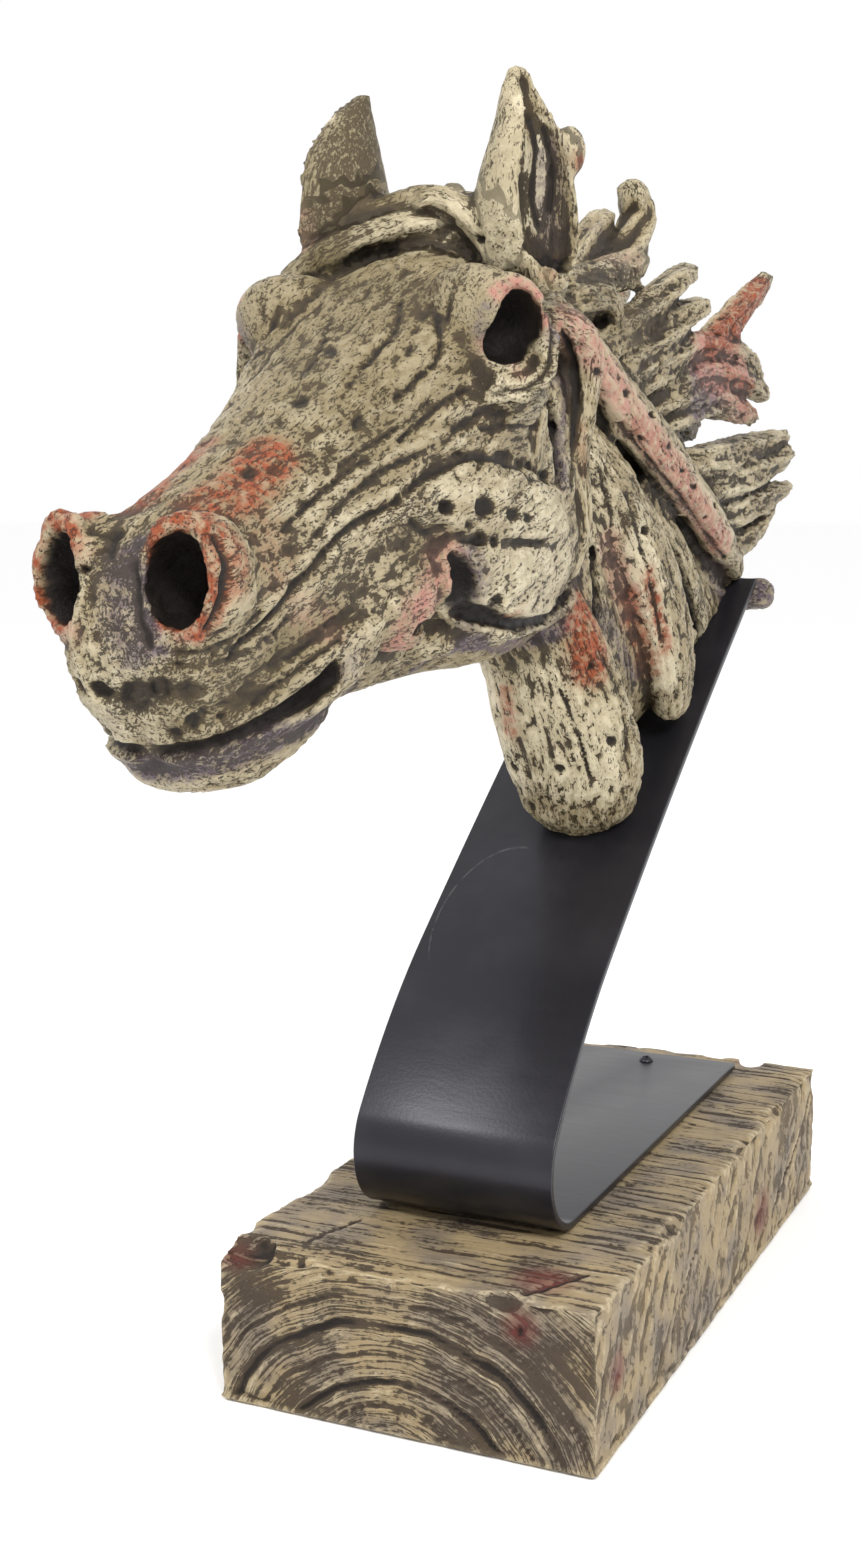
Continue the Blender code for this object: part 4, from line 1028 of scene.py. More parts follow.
def hollow_forms(work, tree, sight):
    # eye: a deep hole that leans forward at its foot
    for offset, radii in (
        ((1.5, 2.0, 2.5), (17, 8.6, 9.8)),
        ((-0.5, -2.0, -2.5), (17, 8.8, 8.2)),
        ((2.3, 1.5, -4.6), (17, 5.6, 5.6)),
        ((-0.5, -2.0, 3.4), (17, 5.6, 6.6)),
    ):
        lump(work, EYE + Vector(offset), radii, (0, 0, EYE_TURN))
    # nostril
    across, forward, up = NOSTRIL
    lump(work, skull_point(across, forward + 4, up), (7.9, 20, 12.6), (0, 0, 20))
    # valley between the eye and the ridge behind it
    valley = [(44, -134, 398, 3.0), (45, -121, 388, 5.5), (45, -112, 373, 6.8), (45, -107, 355, 6.8),
              (45, -107, 338, 5.0), (44, -108, 325, 2.5)]
    strand(work, pressed(tree, valley, 1.5), (1, 0, 0), 1.7)
    # fold behind and under the lower lid
    fold = [(53, -155, 392, 1.2), (55, -157, 380, 1.8), (52, -164, 368, 1.8), (46, -175, 361, 1.2)]
    strand(work, pressed(tree, fold, 0.0), (1, 0, 0), 1.8)
    # recess in front of the cheek, and the slit under the cheek
    recess = [(41, -199, 316, 2), (40, -191, 308, 5), (39, -186, 299, 6.5), (38, -184, 292, 4)]
    strand(work, pressed(tree, recess, 1.0), (1, -0.3, 0), 2.0)
    slit = [(36, -212, 290, 2.2), (38, -186, 292.5, 3.2), (39, -142, 290, 2.5), (40, -106, 289, 2.4),
            (40, -80, 294, 2.2), (40, -66, 302, 1.8)]
    strand(work, pressed(tree, slit, 0.0), (1, 0, 0), 2.4)
    # crack above the plate and the one across the cheek
    for crack in (
        [(42, -240, 333, 1.0), (42, -216, 339, 1.4), (42, -192, 345, 1.8), (43, -152, 344, 1.8),
         (44, -112, 336, 1.4)],
        [(41, -234, 320, 1.2), (41, -200, 318, 1.5), (43, -166, 317, 1.4), (44, -134, 317, 1.0)],
    ):
        strand(work, pressed(tree, crack, 0.0), (1, 0, 0), 1.8)
    # mouth, from the plane of symmetry to its corner
    places = sight.hits([(x, y) for x, y, _ in MOUTH])
    places[0].x = 0.0
    mouth = [(*place, half) for place, (_, _, half) in zip(places, MOUTH)]
    strand(work, mouth, (0.6, -0.8, 0), 2.4)
    # gaps between the slabs of the neck
    for gap in (
        [(36, -48, 312, 2.5), (36, -37, 290, 3.2), (36, -17, 268, 3.5), (36, -1, 250, 3.5),
         (36, 14, 230, 2.5)],
        [(40, -32, 356, 1.8), (42, -6, 338, 2.6), (42, 32, 313, 3.0), (42, 65, 288, 3.0),
         (40, 100, 252, 2.4)],
    ):
        strand(work, pressed(tree, gap, 0.0), (1, 0, 0), 2.2)


# Head: where the strokes lie on the skin


PIT_REACH = 3.5              # a pit's length along the line of sight, in radii


class Sight:
    """Lines of sight from the photograph's camera to a skin in canon millimetres."""

    def __init__(self, tree, canon):
        self.tree = tree
        back = canon.inverted()
        turn = camera_turn().to_matrix()
        self.eye = back @ CAMERA_PLACE
        self.turn = back.to_3x3() @ turn

    def hits(self, stroke):
        """The places on the skin that the stroke's pixels show."""
        found = []
        for x, y in stroke:
            line = Vector((x - PHOTO_WIDTH / 2, PHOTO_HEIGHT / 2 - y, -PHOTO_FOCAL))
            place = self.tree.ray_cast(self.eye, (self.turn @ line).normalized())[0]
            if place:
                found.append(place)
        if not found:
            raise RuntimeError("the stroke at pixel %s misses the head" % (stroke[0],))
        return found

    def lines(self, stroke):
        """The stroke, and for one well on the left side its mirror image on the right."""
        seen = np.array(self.hits(stroke))
        if seen[:, 0].min() < MIRROR_FROM:
            return [seen]
        return [seen, seen * (-1, 1, 1)]

    def aside(self, points, spot, radius):
        """How far each point near the spot lies from the line of sight through it."""
        eye = np.array(self.eye) * ((1, 1, 1) if spot[0] > 0 else (-1, 1, 1))
        line = (spot - eye) / np.linalg.norm(spot - eye)
        offset = points - spot
        gap = np.linalg.norm(offset - (offset @ line)[:, None] * line, axis=1)
        return np.where(np.linalg.norm(offset, axis=1) < PIT_REACH * radius, gap, FAR)


def camera_turn():
    """How the photograph's camera is turned."""
    return Euler((math.pi / 2 - CAMERA_DROP, 0.0, CAMERA_AZIMUTH))


# Head: carving of the skin


GRAIN_NEIGHBOURS = 6         # places on strands that a point is held against
STRAND_REACH = 2.5           # how far a strand's own grain reaches past its skin
FACE_END = -60.0             # the face's grain ends here, the neck's strands go on
SEED_STEP = 37.0             # moves each strand to a place of its own in the noise
# Lengths of the patterns across, along and above the grain
GRAIN_SIZE = (3.0, 20.0, 3.0)
PATCH_SIZE = (5.0, 12.0, 5.0)
CHIP_SIZE = (2.6, 5.0, 2.6)
SWELL_SIZE = (19.0, 19.0, 19.0)
GRAIN_WIDTH = 0.24           # the band round the noise's zero that is a groove
CALMING = 0.75               # how much of the pattern is left out of calm skin
# the painted shade deep in the ears' hollows is weakened by this share
EAR_HOLE_SHADE = 0.15             # how dark the hollows of the ears are beside those of the face
EAR_SHADE = 0.5              # and how much their walls shade them
EAR_SHADE_FROM = 419.0       # above this height
SHADE_START = 0.4            # the lines start this far off the skin
SHADE_REACH = 22.0           # how far off a wall still shades a place
SHADE_RINGS = ((20.0, 4), (48.0, 6), (70.0, 6))   # lines from each place: tilt and number


def face_grain(place):
    """A place on the face as lengths across, along and above the skull."""
    offset = place - SKULL_ORIGIN
    cosine = math.cos(SKULL_PITCH)
    sine = math.sin(SKULL_PITCH)
    return (offset.x, -offset.y * cosine - offset.z * sine, offset.z * cosine - offset.y * sine)


def grain_at(points, lines):
    """For each point: where it lies across, along and above the grain, and if it is a strand."""
    tree = kdtree.KDTree(len(lines))
    for index, line in enumerate(lines):
        tree.insert(line.place, index)
    tree.balance()
    found = np.empty((len(points), 3))
    stranded = np.zeros(len(points))
    for row, spot in enumerate(points.tolist()):
        place = Vector(spot)
        near = [(gap - lines[index].half, index)
                for _, index, gap in tree.find_n(place, GRAIN_NEIGHBOURS)]
        gap, index = min(near)
        line = lines[index]
        if gap > STRAND_REACH and place.y < FACE_END:
            found[row] = face_grain(place)
            continue
        offset = place - line.place
        found[row] = (offset.dot(line.side) + line.seed * SEED_STEP,
                      line.distance + offset.dot(line.along), offset.dot(line.normal))
        stranded[row] = 1.0
    return found, stranded


def calm_skin(points, lips):
    """1 at the lips, round the eyes and on the ears, where the skin is smoother."""
    mirror = np.array((-1, 1, 1))
    eye = np.array(EYE)
    calm = smooth_step(EAR_FOOT + 4, EAR_FOOT + 16, points[:, 2])
    for turn in (1, mirror):
        calm = np.maximum(calm, 1.0 - smooth_step(7.0, 14.0, path_distance(points, lips * turn)))
        gap = np.linalg.norm(points - eye * turn, axis=1)
        calm = np.maximum(calm, 0.8 - 0.8 * smooth_step(19.0, 27.0, gap))
    return calm


def carve_skin(mesh, grain, stranded, sight, settings):
    """Cuts grain, worn patches, furrows and pits into the skin; returns the wear and the cuts."""
    points = points_of(mesh)
    normals = normals_of(mesh)
    fibre = noise_field(grain, GRAIN_SIZE)
    groove = smooth_step(0.0, 1.0, 1.0 - np.abs(fibre) / GRAIN_WIDTH)
    worn = noise_field(grain, PATCH_SIZE, 31.0) + 0.5 * noise_field(grain, CHIP_SIZE, 7.0)
    swell = noise_field(points, SWELL_SIZE)
    shift = 0.5 * swell
    shift -= groove * (0.6 + 0.4 * stranded) * settings.grain_depth / MILLIMETRE
    shift -= smooth_step(0.0, 0.35, worn) * settings.patch_depth / MILLIMETRE
    lips = np.array(sight.hits([(x, y) for x, y, _ in MOUTH]))
    shift *= 1.0 - CALMING * calm_skin(points, lips)
    cuts = np.zeros(len(points))
    for half, depth, stroke in FURROWS:
        for line in sight.lines(stroke):
            path = np.array(smooth_path(line.tolist(), 4))
            gap = path_distance(points, path) / half + 0.3 * swell
            wedge = np.exp(-gap * gap)
            shift -= depth * wedge
            cuts = np.maximum(cuts, wedge * np.sign(depth))
    for x, y, radius, depth in PITS:
        for spot in sight.lines(((x, y),)):
            gap = sight.aside(points, spot[0], radius) / radius + 0.3 * swell
            cup = smooth_step(0.0, 0.55, 1.15 - gap)
            shift -= depth * cup
            cuts = np.maximum(cuts, cup)
    set_points(mesh, points + normals * shift[:, None])
    return worn, cuts


def cavities(mesh, rounds):
    """How far each point lies inside a smoothed copy of the mesh: more in grooves."""
    count = len(mesh.vertices)
    edges = np.empty(len(mesh.edges) * 2, np.int32)
    mesh.edges.foreach_get("vertices", edges)
    edges = edges.reshape(-1, 2)
    ends = np.concatenate([edges[:, 0], edges[:, 1]])
    others = np.concatenate([edges[:, 1], edges[:, 0]])
    degree = np.maximum(np.bincount(ends, minlength=count), 1)
    start = points_of(mesh)
    soft = start.copy()
    for _ in range(rounds):
        soft = np.column_stack([np.bincount(ends, weights=soft[others, axis], minlength=count)
                                / degree for axis in range(3)])
    return ((soft - start) * normals_of(mesh)).sum(1)


def shading(mesh):
    """The share of lines from each point of the mesh that soon meet the mesh again."""
    tree = surface_tree(mesh)
    reach = SHADE_REACH * MILLIMETRE
    spread = []
    for tilt, count in SHADE_RINGS:
        ring = [Euler((math.radians(tilt), 0.0, math.tau * step / count)) for step in range(count)]
        spread += [turn.to_matrix() @ Vector((0.0, 0.0, 1.0)) for turn in ring]
    found = []
    for vert in mesh.vertices:
        turn = vert.normal.to_track_quat("Z", "Y").to_matrix()
        start = vert.co + vert.normal * SHADE_START * MILLIMETRE
        met = sum(tree.ray_cast(start, turn @ line, reach)[0] is not None for line in spread)
        found.append(met / len(spread))
    return np.array(found)


def lay_washes(points, sight):
    """The weight of each channel of paint at each point."""
    layers = {}
    for channel, strokes in WASHES.items():
        total = np.zeros(len(points))
        for radius, strength, stroke in strokes:
            for line in sight.lines(stroke):
                gap = path_distance(points, line)
                weight = strength * (1.0 - smooth_step(radius * 0.45, radius * 1.35, gap))
                total = np.maximum(total, weight)
        layers[channel] = total
    return layers


def seat_tool(strap):
    """All that lies under the strap's outer face, but for a lobe behind its top end."""
    reach = BLOCK_LENGTH / 2
    face = strap.offset(GAP, first=2)
    along = (Vector(strap.points[-1]) - Vector(strap.points[-2])).normalized()
    outward = Vector((-along.y, along.x))
    end = Vector(strap.points[-1]) + along * GAP
    below = STRAP_THICKNESS + GAP
    outline = [(point.x, point.y) for point in face[:-1]]
    outline.append(tuple(end + outward * GAP))
    outline.append(tuple(end - outward * below))
    back = end - along * LOBE_LENGTH - outward * below
    outline.append(tuple(back))
    outline.append((back.x, strap.floor))
    bm = bmesh.new()
    base = bm.faces.new([bm.verts.new((-reach, y, z)) for y, z in outline])
    swept = bmesh.ops.extrude_face_region(bm, geom=[base])["geom"]
    moved = [item for item in swept if isinstance(item, bmesh.types.BMVert)]
    bmesh.ops.translate(bm, verts=moved, vec=(2 * reach, 0, 0))
    return mesh_from(bm, "seat")


def cast_head(settings):
    """The head's mesh in metres, with its grain, wear, depth and washes kept on its points."""
    strap = Strap(*SEAT_STEPS)
    canon = strap.canon()
    voxel = settings.skin_voxel / MILLIMETRE
    # the masses, and on them the carving
    masses = Carving()
    for form in (brow_form, cheek_form, muzzle_form, neck_slabs):
        form(masses)
    masses.mirror()
    for form in (skull_form, neck_form):
        form(masses)
    core = masses.skin(CORE_VOXEL)
    detail = Carving()
    detail.strands = masses.strands
    relief_forms(detail, surface_tree(core))
    mane_locks(detail)
    detail.mirror()
    for form in (forelock_form, ear_knob, middle_locks):
        form(detail)
    ear_form(detail, LEFT_EAR, 1)
    ear_form(detail, RIGHT_EAR, -1)
    whole = detail.skin(voxel, core)
    outside = surface_tree(whole)
    # what is hollowed out
    hollows = Carving()
    hollow_forms(hollows, outside, Sight(outside, canon))
    hollows.mirror()
    ear_hollow(hollows, LEFT_EAR, 1)
    ear_hollow(hollows, RIGHT_EAR, -1)
    hollowed = cut(whole, hollows.skin(HOLLOW_VOXEL))
    # one fine skin with the small carving, thinned, hung on the strap and cut to sit on it
    fine = shaped(hollowed, [("REMESH", {"mode": "VOXEL", "voxel_size": voxel}),
                             ("SMOOTH", {"factor": 0.5, "iterations": 1})])
    grain, stranded = grain_at(points_of(fine), masses.grain + detail.grain)
    sight = Sight(surface_tree(fine), canon)
    worn, cuts = carve_skin(fine, grain, stranded, sight, settings)
    ratio = settings.triangles / (2 * len(fine.polygons))
    thin = shaped(fine, [("DECIMATE", {"ratio": min(ratio, 1.0)})])
    thin.transform(canon)
    made = cut(thin, seat_tool(strap), "MANIFOLD")
    keep_finish(made, fine, canon, {"grain": grain, "worn": worn, "cuts": cuts}, outside, sight)
    return made


def keep_finish(mesh, fine, canon, layers, outside, sight):
    """Carries what the paint needs from the fine skin to the finished mesh."""
    source = points_of(fine)
    tree = kdtree.KDTree(len(source))
    for index, spot in enumerate(source.tolist()):
        tree.insert(spot, index)
    tree.balance()
    back = canon.inverted()
    places = [back @ vert.co for vert in mesh.vertices]
    nearest = [tree.find(place)[1] for place in places]
    for name, values in layers.items():
        keep = store_vectors if values.ndim > 1 else store
        keep(mesh, name, values[nearest])
    points = np.array(places)
    depth = np.array([outside.find_nearest(place)[3] for place in places])
    # depth below the uncut skin drives the painted shade in the holes
    store(mesh, "depth", depth * np.where(points[:, 2] > EAR_FOOT, EAR_HOLE_SHADE, 1.0))
    for channel, weights in lay_washes(points, sight).items():
        store(mesh, channel, weights)
    store(mesh, "groove", cavities(mesh, 4) / MILLIMETRE)
    # the share of lines that meet the skin again is painted into the resin's colour as shade
    store(mesh, "shade", shading(mesh) * np.where(points[:, 2] > EAR_SHADE_FROM, EAR_SHADE, 1.0))


# Block


CHIPS = (
    # centre as shares of the half width, half length and height, then radii and turn
    ((-0.90, -0.97, 0.99), (14, 12, 6.5), (10, 14, 20)),
    ((-0.62, -1.00, 1.03), (16, 9, 5.5), (0, -8, 8)),
    ((-0.14, -1.03, 1.02), (30, 7, 4.5), (12, 0, 4)),
    ((0.34, -1.04, 1.03), (16, 8, 4.6), (0, 12, -10)),
    ((0.52, -1.02, 0.99), (9, 9, 6.5), (0, 0, 24)),
    ((0.99, -0.42, 1.01), (5, 14, 4.5), (0, 20, 0)),
    ((1.00, 0.18, 1.01), (4.5, 9, 4.5), (0, 30, 0)),
    ((1.01, 0.55, 1.00), (5, 11, 5.0), (0, 15, 0)),
    ((-1.00, 0.10, 1.01), (5, 16, 4.5), (0, -20, 0)),
    ((-1.00, -0.55, 1.01), (6, 20, 5.0), (0, -15, 0)),
    ((-0.52, 1.01, 0.99), (8, 8, 6.0), (0, 0, 30)),
    ((0.56, 0.99, 0.97), (5, 13, 9.0), (0, 0, 12)),
    ((0.10, 1.02, 1.02), (26, 7, 4.0), (0, 6, 0)),
)
# Growth rings that are cut into the ends: radius, half width and depth in millimetres
RINGS = ((45.0, 1.5, 1.7), (69.0, 1.9, 2.2), (57.5, 1.0, 0.8), (80.0, 1.1, 0.9), (34.0, 1.0, 0.8))
PITH = (-2.0, -20.0)         # x and z, below the underside
RING_SQUASH = 1.12           # the rings are this much wider than they are high
RING_ARC = 40.0              # turns the angle round the pith into a length
CRACKS = (
    # half width, depth, then points x, y, z in millimetres
    (1.2, 1.6, ((75, 156, 52), (75, 120, 30), (75, 84, 14))),
    (0.9, 1.0, ((75, -40, 40), (75, -62, 28), (75, -70, 10))),
    (1.0, 1.2, ((-75, 40, 50), (-75, 10, 34), (-75, -30, 24))),
    (1.4, 2.0, ((46, -158, 48), (45, -150, 60), (58, -126, 60))),
    (1.0, 1.0, ((-40, -158, 58), (-46, -138, 60), (-38, -112, 60))),
    (0.9, 1.2, ((-60, 158, 40), (-30, 158, 46), (10, 158, 30))),
)


def cast_block(settings):
    """The block's mesh in metres, with its stains kept on its points."""
    low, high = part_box("base_block")
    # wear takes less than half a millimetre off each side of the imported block
    width = 2 * round((high.x - low.x) / 2 / MILLIMETRE)
    length, height = BLOCK_LENGTH / MILLIMETRE, BLOCK_HEIGHT / MILLIMETRE
    work = Carving()
    bmesh.ops.create_cube(work.bm, size=1.0)
    bmesh.ops.scale(work.bm, verts=work.bm.verts, vec=(width, length, height))
    bmesh.ops.translate(work.bm, verts=work.bm.verts, vec=(0, 0, height / 2))
    bmesh.ops.bevel(work.bm, geom=work.bm.edges[:] + work.bm.verts[:],
                    offset=settings.arris / MILLIMETRE, affect="EDGES", segments=3, profile=0.5,
                    material=-1, clamp_overlap=True)
    solid = mesh_from(work.bm, "timber")
    breaks = Carving()
    for (across, along, up), radii, turn in CHIPS:
        place = (across * width / 2, along * length / 2, up * height)
        lump(breaks, place, radii, turn, detail=2)
    broken = cut(solid, breaks.skin(1.0))
    voxel = settings.voxel / MILLIMETRE
    mesh = shaped(broken, [("REMESH", {"mode": "VOXEL", "voxel_size": voxel})])
    weather_block(mesh, settings)
    mesh.transform(Matrix.Scale(MILLIMETRE, 4))
    store(mesh, "groove", cavities(mesh, 3) / MILLIMETRE)
    # the broad hollows carry the painted shade of the block
    store(mesh, "hollow", cavities(mesh, 16) / MILLIMETRE)
    return mesh


def ring_pattern(points):
    """How deep the growth rings are cut at each point, and where it lies among the rings."""
    x, y, z = points.T
    radius = np.hypot(x - PITH[0], (z - PITH[1]) * RING_SQUASH)
    radius += 2.2 * noise_field(points, (26.0, 400.0, 26.0)) + 0.8 * noise_field(points, (7, 400, 7))
    fading = np.clip(0.8 + 0.9 * noise_field(points, (17.0, 400.0, 17.0), 51.0), 0.15, 1.3)
    ring = np.zeros(len(points))
    for middle, thick, depth in RINGS:
        ring = np.maximum(ring, fading * depth * np.exp(-((radius - middle) / thick) ** 2))
    return ring, np.column_stack([radius, np.arctan2(z - PITH[1], x - PITH[0]) * RING_ARC, y])


def worn_edges(points):
    """How deep the edges of the block are worn, more in ragged spots."""
    across, along = np.abs(points[:, 0]), np.abs(points[:, 1])
    up = points[:, 2]
    sides = np.column_stack([across.max() - across, along.max() - along,
                             np.minimum(up, up.max() - up)])
    arris = 1.0 - smooth_step(0.5, 8.0, np.sort(sides, axis=1)[:, 1])
    ragged = noise_field(points, (15.0, 13.0, 15.0), 41.0)
    ragged += 0.6 * noise_field(points, (6, 6, 6), 43.0)
    return arris * (0.3 + 2.8 * np.clip(ragged, 0, 1))


def weather_block(mesh, settings):
    """Cuts rings, saw marks, streaks and cracks into the block and notes where they are."""
    points = points_of(mesh)
    normals = normals_of(mesh)
    end, side = normals[:, 1] ** 2, normals[:, 0] ** 2
    top = np.clip(normals[:, 2], 0.0, 1.0) ** 2
    x, y, z = points.T
    ring, rings = ring_pattern(points)
    lines = noise_field(rings, (2.2, 40.0, 60.0))
    flecks = noise_field(rings, (6.0, 3.0, 60.0))
    saw = noise_field(points, (60.0, 3.2, 60.0)) + 0.5 * noise_field(points, (30.0, 1.8, 30.0), 9.0)
    # streaks that slant down the sides
    slanted = points @ np.array(((1, 0, 0), (0, 0.83, -0.56), (0, 0.56, 0.83))).T
    streaks = noise_field(slanted, (9.0, 5.0, 17.0)) + 0.6 * noise_field(points, (7, 7, 7), 5.0)
    broad = noise_field(points, (30.0, 30.0, 24.0), 3.0)
    # the top stays flat under the strap's foot
    foot = STRAP_WIDTH / MILLIMETRE / 2
    under_strap = (1.0 - smooth_step(foot, foot + 4, np.abs(x))) * smooth_step(-92, -84, y)
    calm = 1.0 - 0.7 * under_strap
    cutting = end * (ring + 0.5 * np.clip(lines, 0, 1) + 0.6 * np.clip(flecks, 0, 1))
    cutting += side * (1.3 * np.clip(streaks + 0.2, 0, 1) + 0.7 * (broad + 1))
    cutting += 0.5 * (1 + noise_field(points, (11.0, 11.0, 11.0), 17.0))
    cutting += top * calm * (np.clip(saw + 0.25, 0, 1) * settings.saw_depth / MILLIMETRE
                             + 0.35 * (broad + 1))
    cutting += worn_edges(points)
    mark = np.clip(end * (ring / 1.6 + 0.3 * lines) + side * np.clip(streaks, 0, 1)
                   + top * np.clip(saw, 0, 1), 0, 1)
    for half, depth, line in CRACKS:
        gap = path_distance(points, np.array(line, float)) / half
        wedge = np.exp(-gap * gap)
        cutting += depth * wedge
        mark = np.maximum(mark, wedge)
    # the underside stays flat
    cutting *= smooth_step(0.2, 3.0, z)
    set_points(mesh, points - normals * cutting[:, None])
    store(mesh, "worn", mark)
    store(mesh, "ends", end)
    store(mesh, "tops", top)
    store_vectors(mesh, "rings", rings)


# Steel


def build_strap(settings):
    """A sheet swept across the bent line, given its thickness, rounded edges and bore."""
    strap = Strap(*STRAP_STEPS)
    bm = bmesh.new()
    outer = [bm.verts.new((-STRAP_WIDTH / 2, y, z)) for y, z in strap.points]
    edges = [bm.edges.new(pair) for pair in zip(outer, outer[1:])]
    swept = bmesh.ops.extrude_edge_only(bm, edges=edges)["geom"]
    across = [item for item in swept if isinstance(item, bmesh.types.BMVert)]
    bmesh.ops.translate(bm, verts=across, vec=(STRAP_WIDTH, 0, 0))
    sheet = mesh_from(bm, "sheet")
    inside = Vector((0.0, strap.bend_start, strap.floor + BEND_RADIUS))
    front = min(sheet.polygons, key=lambda face: face.center.y)
    outward = (front.center - inside).dot(front.normal) > 0
    plate = shaped(sheet, [
        ("SOLIDIFY", {"thickness": STRAP_THICKNESS, "offset": -1.0 if outward else 1.0,
                      "use_even_offset": True}),
        ("BEVEL", {"width": settings.edge, "segments": 3, "limit_method": "ANGLE",
                   "angle_limit": math.radians(60)}),
    ])
    bm = bmesh.new()
    radius = SCREW_SHANK_DIAMETER / 2 + GAP
    place = Matrix.Translation(strap.screw_place())
    bmesh.ops.create_cone(bm, cap_ends=True, segments=24, radius1=radius, radius2=radius,
                          depth=4 * STRAP_THICKNESS, matrix=place)
    return cut(plate, mesh_from(bm, "bore"))


def build_screw():
    """A turned screw with a domed head and a crossed slot."""
    strap = Strap(*SEAT_STEPS)
    head = SCREW_HEAD_DIAMETER / 2
    shank = SCREW_SHANK_DIAMETER / 2
    quarter = [math.radians(step * 9) for step in range(11)]
    profile = [(head * math.sin(turn), SCREW_HEAD_HEIGHT * math.cos(turn) ** SCREW_DOME_POWER + GAP)
               for turn in quarter]
    profile += [(shank, GAP), (shank, SCREW_POINT - SCREW_LENGTH), (0.0, -SCREW_LENGTH)]
    bm = bmesh.new()
    line = [bm.verts.new((x, 0, z)) for x, z in profile]
    edges = [bm.edges.new(pair) for pair in zip(line, line[1:])]
    bmesh.ops.spin(bm, geom=line + edges, cent=(0, 0, 0), axis=(0, 0, 1), dvec=(0, 0, 0),
                   angle=math.tau, steps=48, use_merge=True, use_duplicate=False)
    bmesh.ops.remove_doubles(bm, verts=bm.verts[:], dist=0.00001)
    bmesh.ops.translate(bm, verts=bm.verts[:], vec=strap.screw_place())
    body = mesh_from(bm, "turned")
    for turn in (0.0, math.pi / 2):
        bm = bmesh.new()
        bmesh.ops.create_cube(bm, size=1.0)
        size = (head * 1.1, SCREW_SLOT_WIDTH, SCREW_SLOT_DEPTH * 2)
        bmesh.ops.scale(bm, verts=bm.verts, vec=size)
        spin = Matrix.Rotation(turn + SCREW_SLOT_TURN, 3, "Z")
        bmesh.ops.rotate(bm, verts=bm.verts, matrix=spin)
        top = Vector((0.0, 0.0, SCREW_HEAD_HEIGHT + GAP))
        bmesh.ops.translate(bm, verts=bm.verts, vec=strap.screw_place() + top)
        body = cut(body, mesh_from(bm, "slot"))
    return body


# Finishes


# From where to where a tone turns bare resin into umber, and bare wood into brown
UMBER_STEP = (1.69, 1.73)
FAINT_UMBER_STEP = (1.54, 1.80)
BROWN_STEP = (1.29, 1.38)
FAINT_BROWN_STEP = (1.10, 1.38)
WASHED_UMBER = 0.30          # how bright a wash is where it lies on umber


class Socket:
    """A node's output that carries a number; Python's operators add Math nodes."""

    def __init__(self, finish, link):
        self.finish = finish
        self.link = link

    def math(self, operation, *others):
        inputs = dict(enumerate((self, *others)))
        return self.finish.node("Math", {"operation": operation}, inputs)

    def __add__(self, other):
        return self.math("ADD", other)

    def __sub__(self, other):
        return self.math("SUBTRACT", other)

    def __rsub__(self, other):
        return self.finish.node("Math", {"operation": "SUBTRACT"}, {0: other, 1: self})

    def __mul__(self, other):
        return self.math("MULTIPLY", other)

    def __truediv__(self, other):
        return self.math("DIVIDE", other)

    __radd__ = __add__
    __rmul__ = __mul__

    def above(self, low, high):
        """0 below low and 1 above high, smooth between."""
        return self.finish.node("MapRange", {"interpolation_type": "SMOOTHSTEP"},
                                {"Value": self, "From Min": low, "From Max": high})

    def limited(self):
        """Kept between 0 and 1."""
        return self.finish.node("Clamp", {}, {"Value": self})


class Finish:
    """A material and its Principled shader, with one way to add any node."""

    def __init__(self, name, roughness):
        self.material = bpy.data.materials.new(name)
        self.material.use_nodes = True
        self.tree = self.material.node_tree
        self.shader = self.tree.nodes["Principled BSDF"]
        self.shader.inputs["Roughness"].default_value = roughness

    def node(self, kind, settings, inputs, output=0):
        """A node of any kind: its settings first, then its sockets' values or links."""
        made = self.tree.nodes.new("ShaderNode" + kind)
        for name, value in settings.items():
            setattr(made, name, value)
        for key, value in inputs.items():
            self.feed(made.inputs[key], value)
        return Socket(self, made.outputs[output])

    def feed(self, socket, value):
        if isinstance(value, Socket):
            self.tree.links.new(value.link, socket)
        elif isinstance(value, (int, float)):
            socket.default_value = value
        elif socket.type == "RGBA":
            socket.default_value = (*value, 1.0)
        else:
            socket.default_value = value

    def drive(self, name, value):
        """Feeds one socket of the shader."""
        self.feed(self.shader.inputs[name], value)

    def place(self):
        return self.node("TexCoord", {}, {}, "Object")

    def number(self, name):
        """A number kept on the mesh's points."""
        return self.node("Attribute", {"attribute_name": name}, {}, "Fac")

    def vector(self, name):
        """Three numbers kept on the mesh's points."""
        return self.node("Attribute", {"attribute_name": name}, {}, "Vector")

    def stretched(self, vector, factors):
        return self.node("VectorMath", {"operation": "MULTIPLY"}, {0: vector, 1: factors})

    def noise(self, vector, scale, detail=3.0, roughness=0.55, distortion=0.0):
        return self.node("TexNoise", {}, {"Vector": vector, "Scale": scale, "Detail": detail,
                                          "Roughness": roughness, "Distortion": distortion})

    def blend(self, first, second, share):
        """The first colour turning into the second as the share goes from 0 to 1."""
        return self.node("Mix", {"data_type": "RGBA"}, {0: share, 6: first, 7: second}, 2)

    def bump(self, height, distance, strength=1.0, under=None):
        inputs = {"Height": height, "Distance": distance, "Strength": strength}
        if under:
            inputs["Normal"] = under
        return self.node("Bump", {}, inputs)


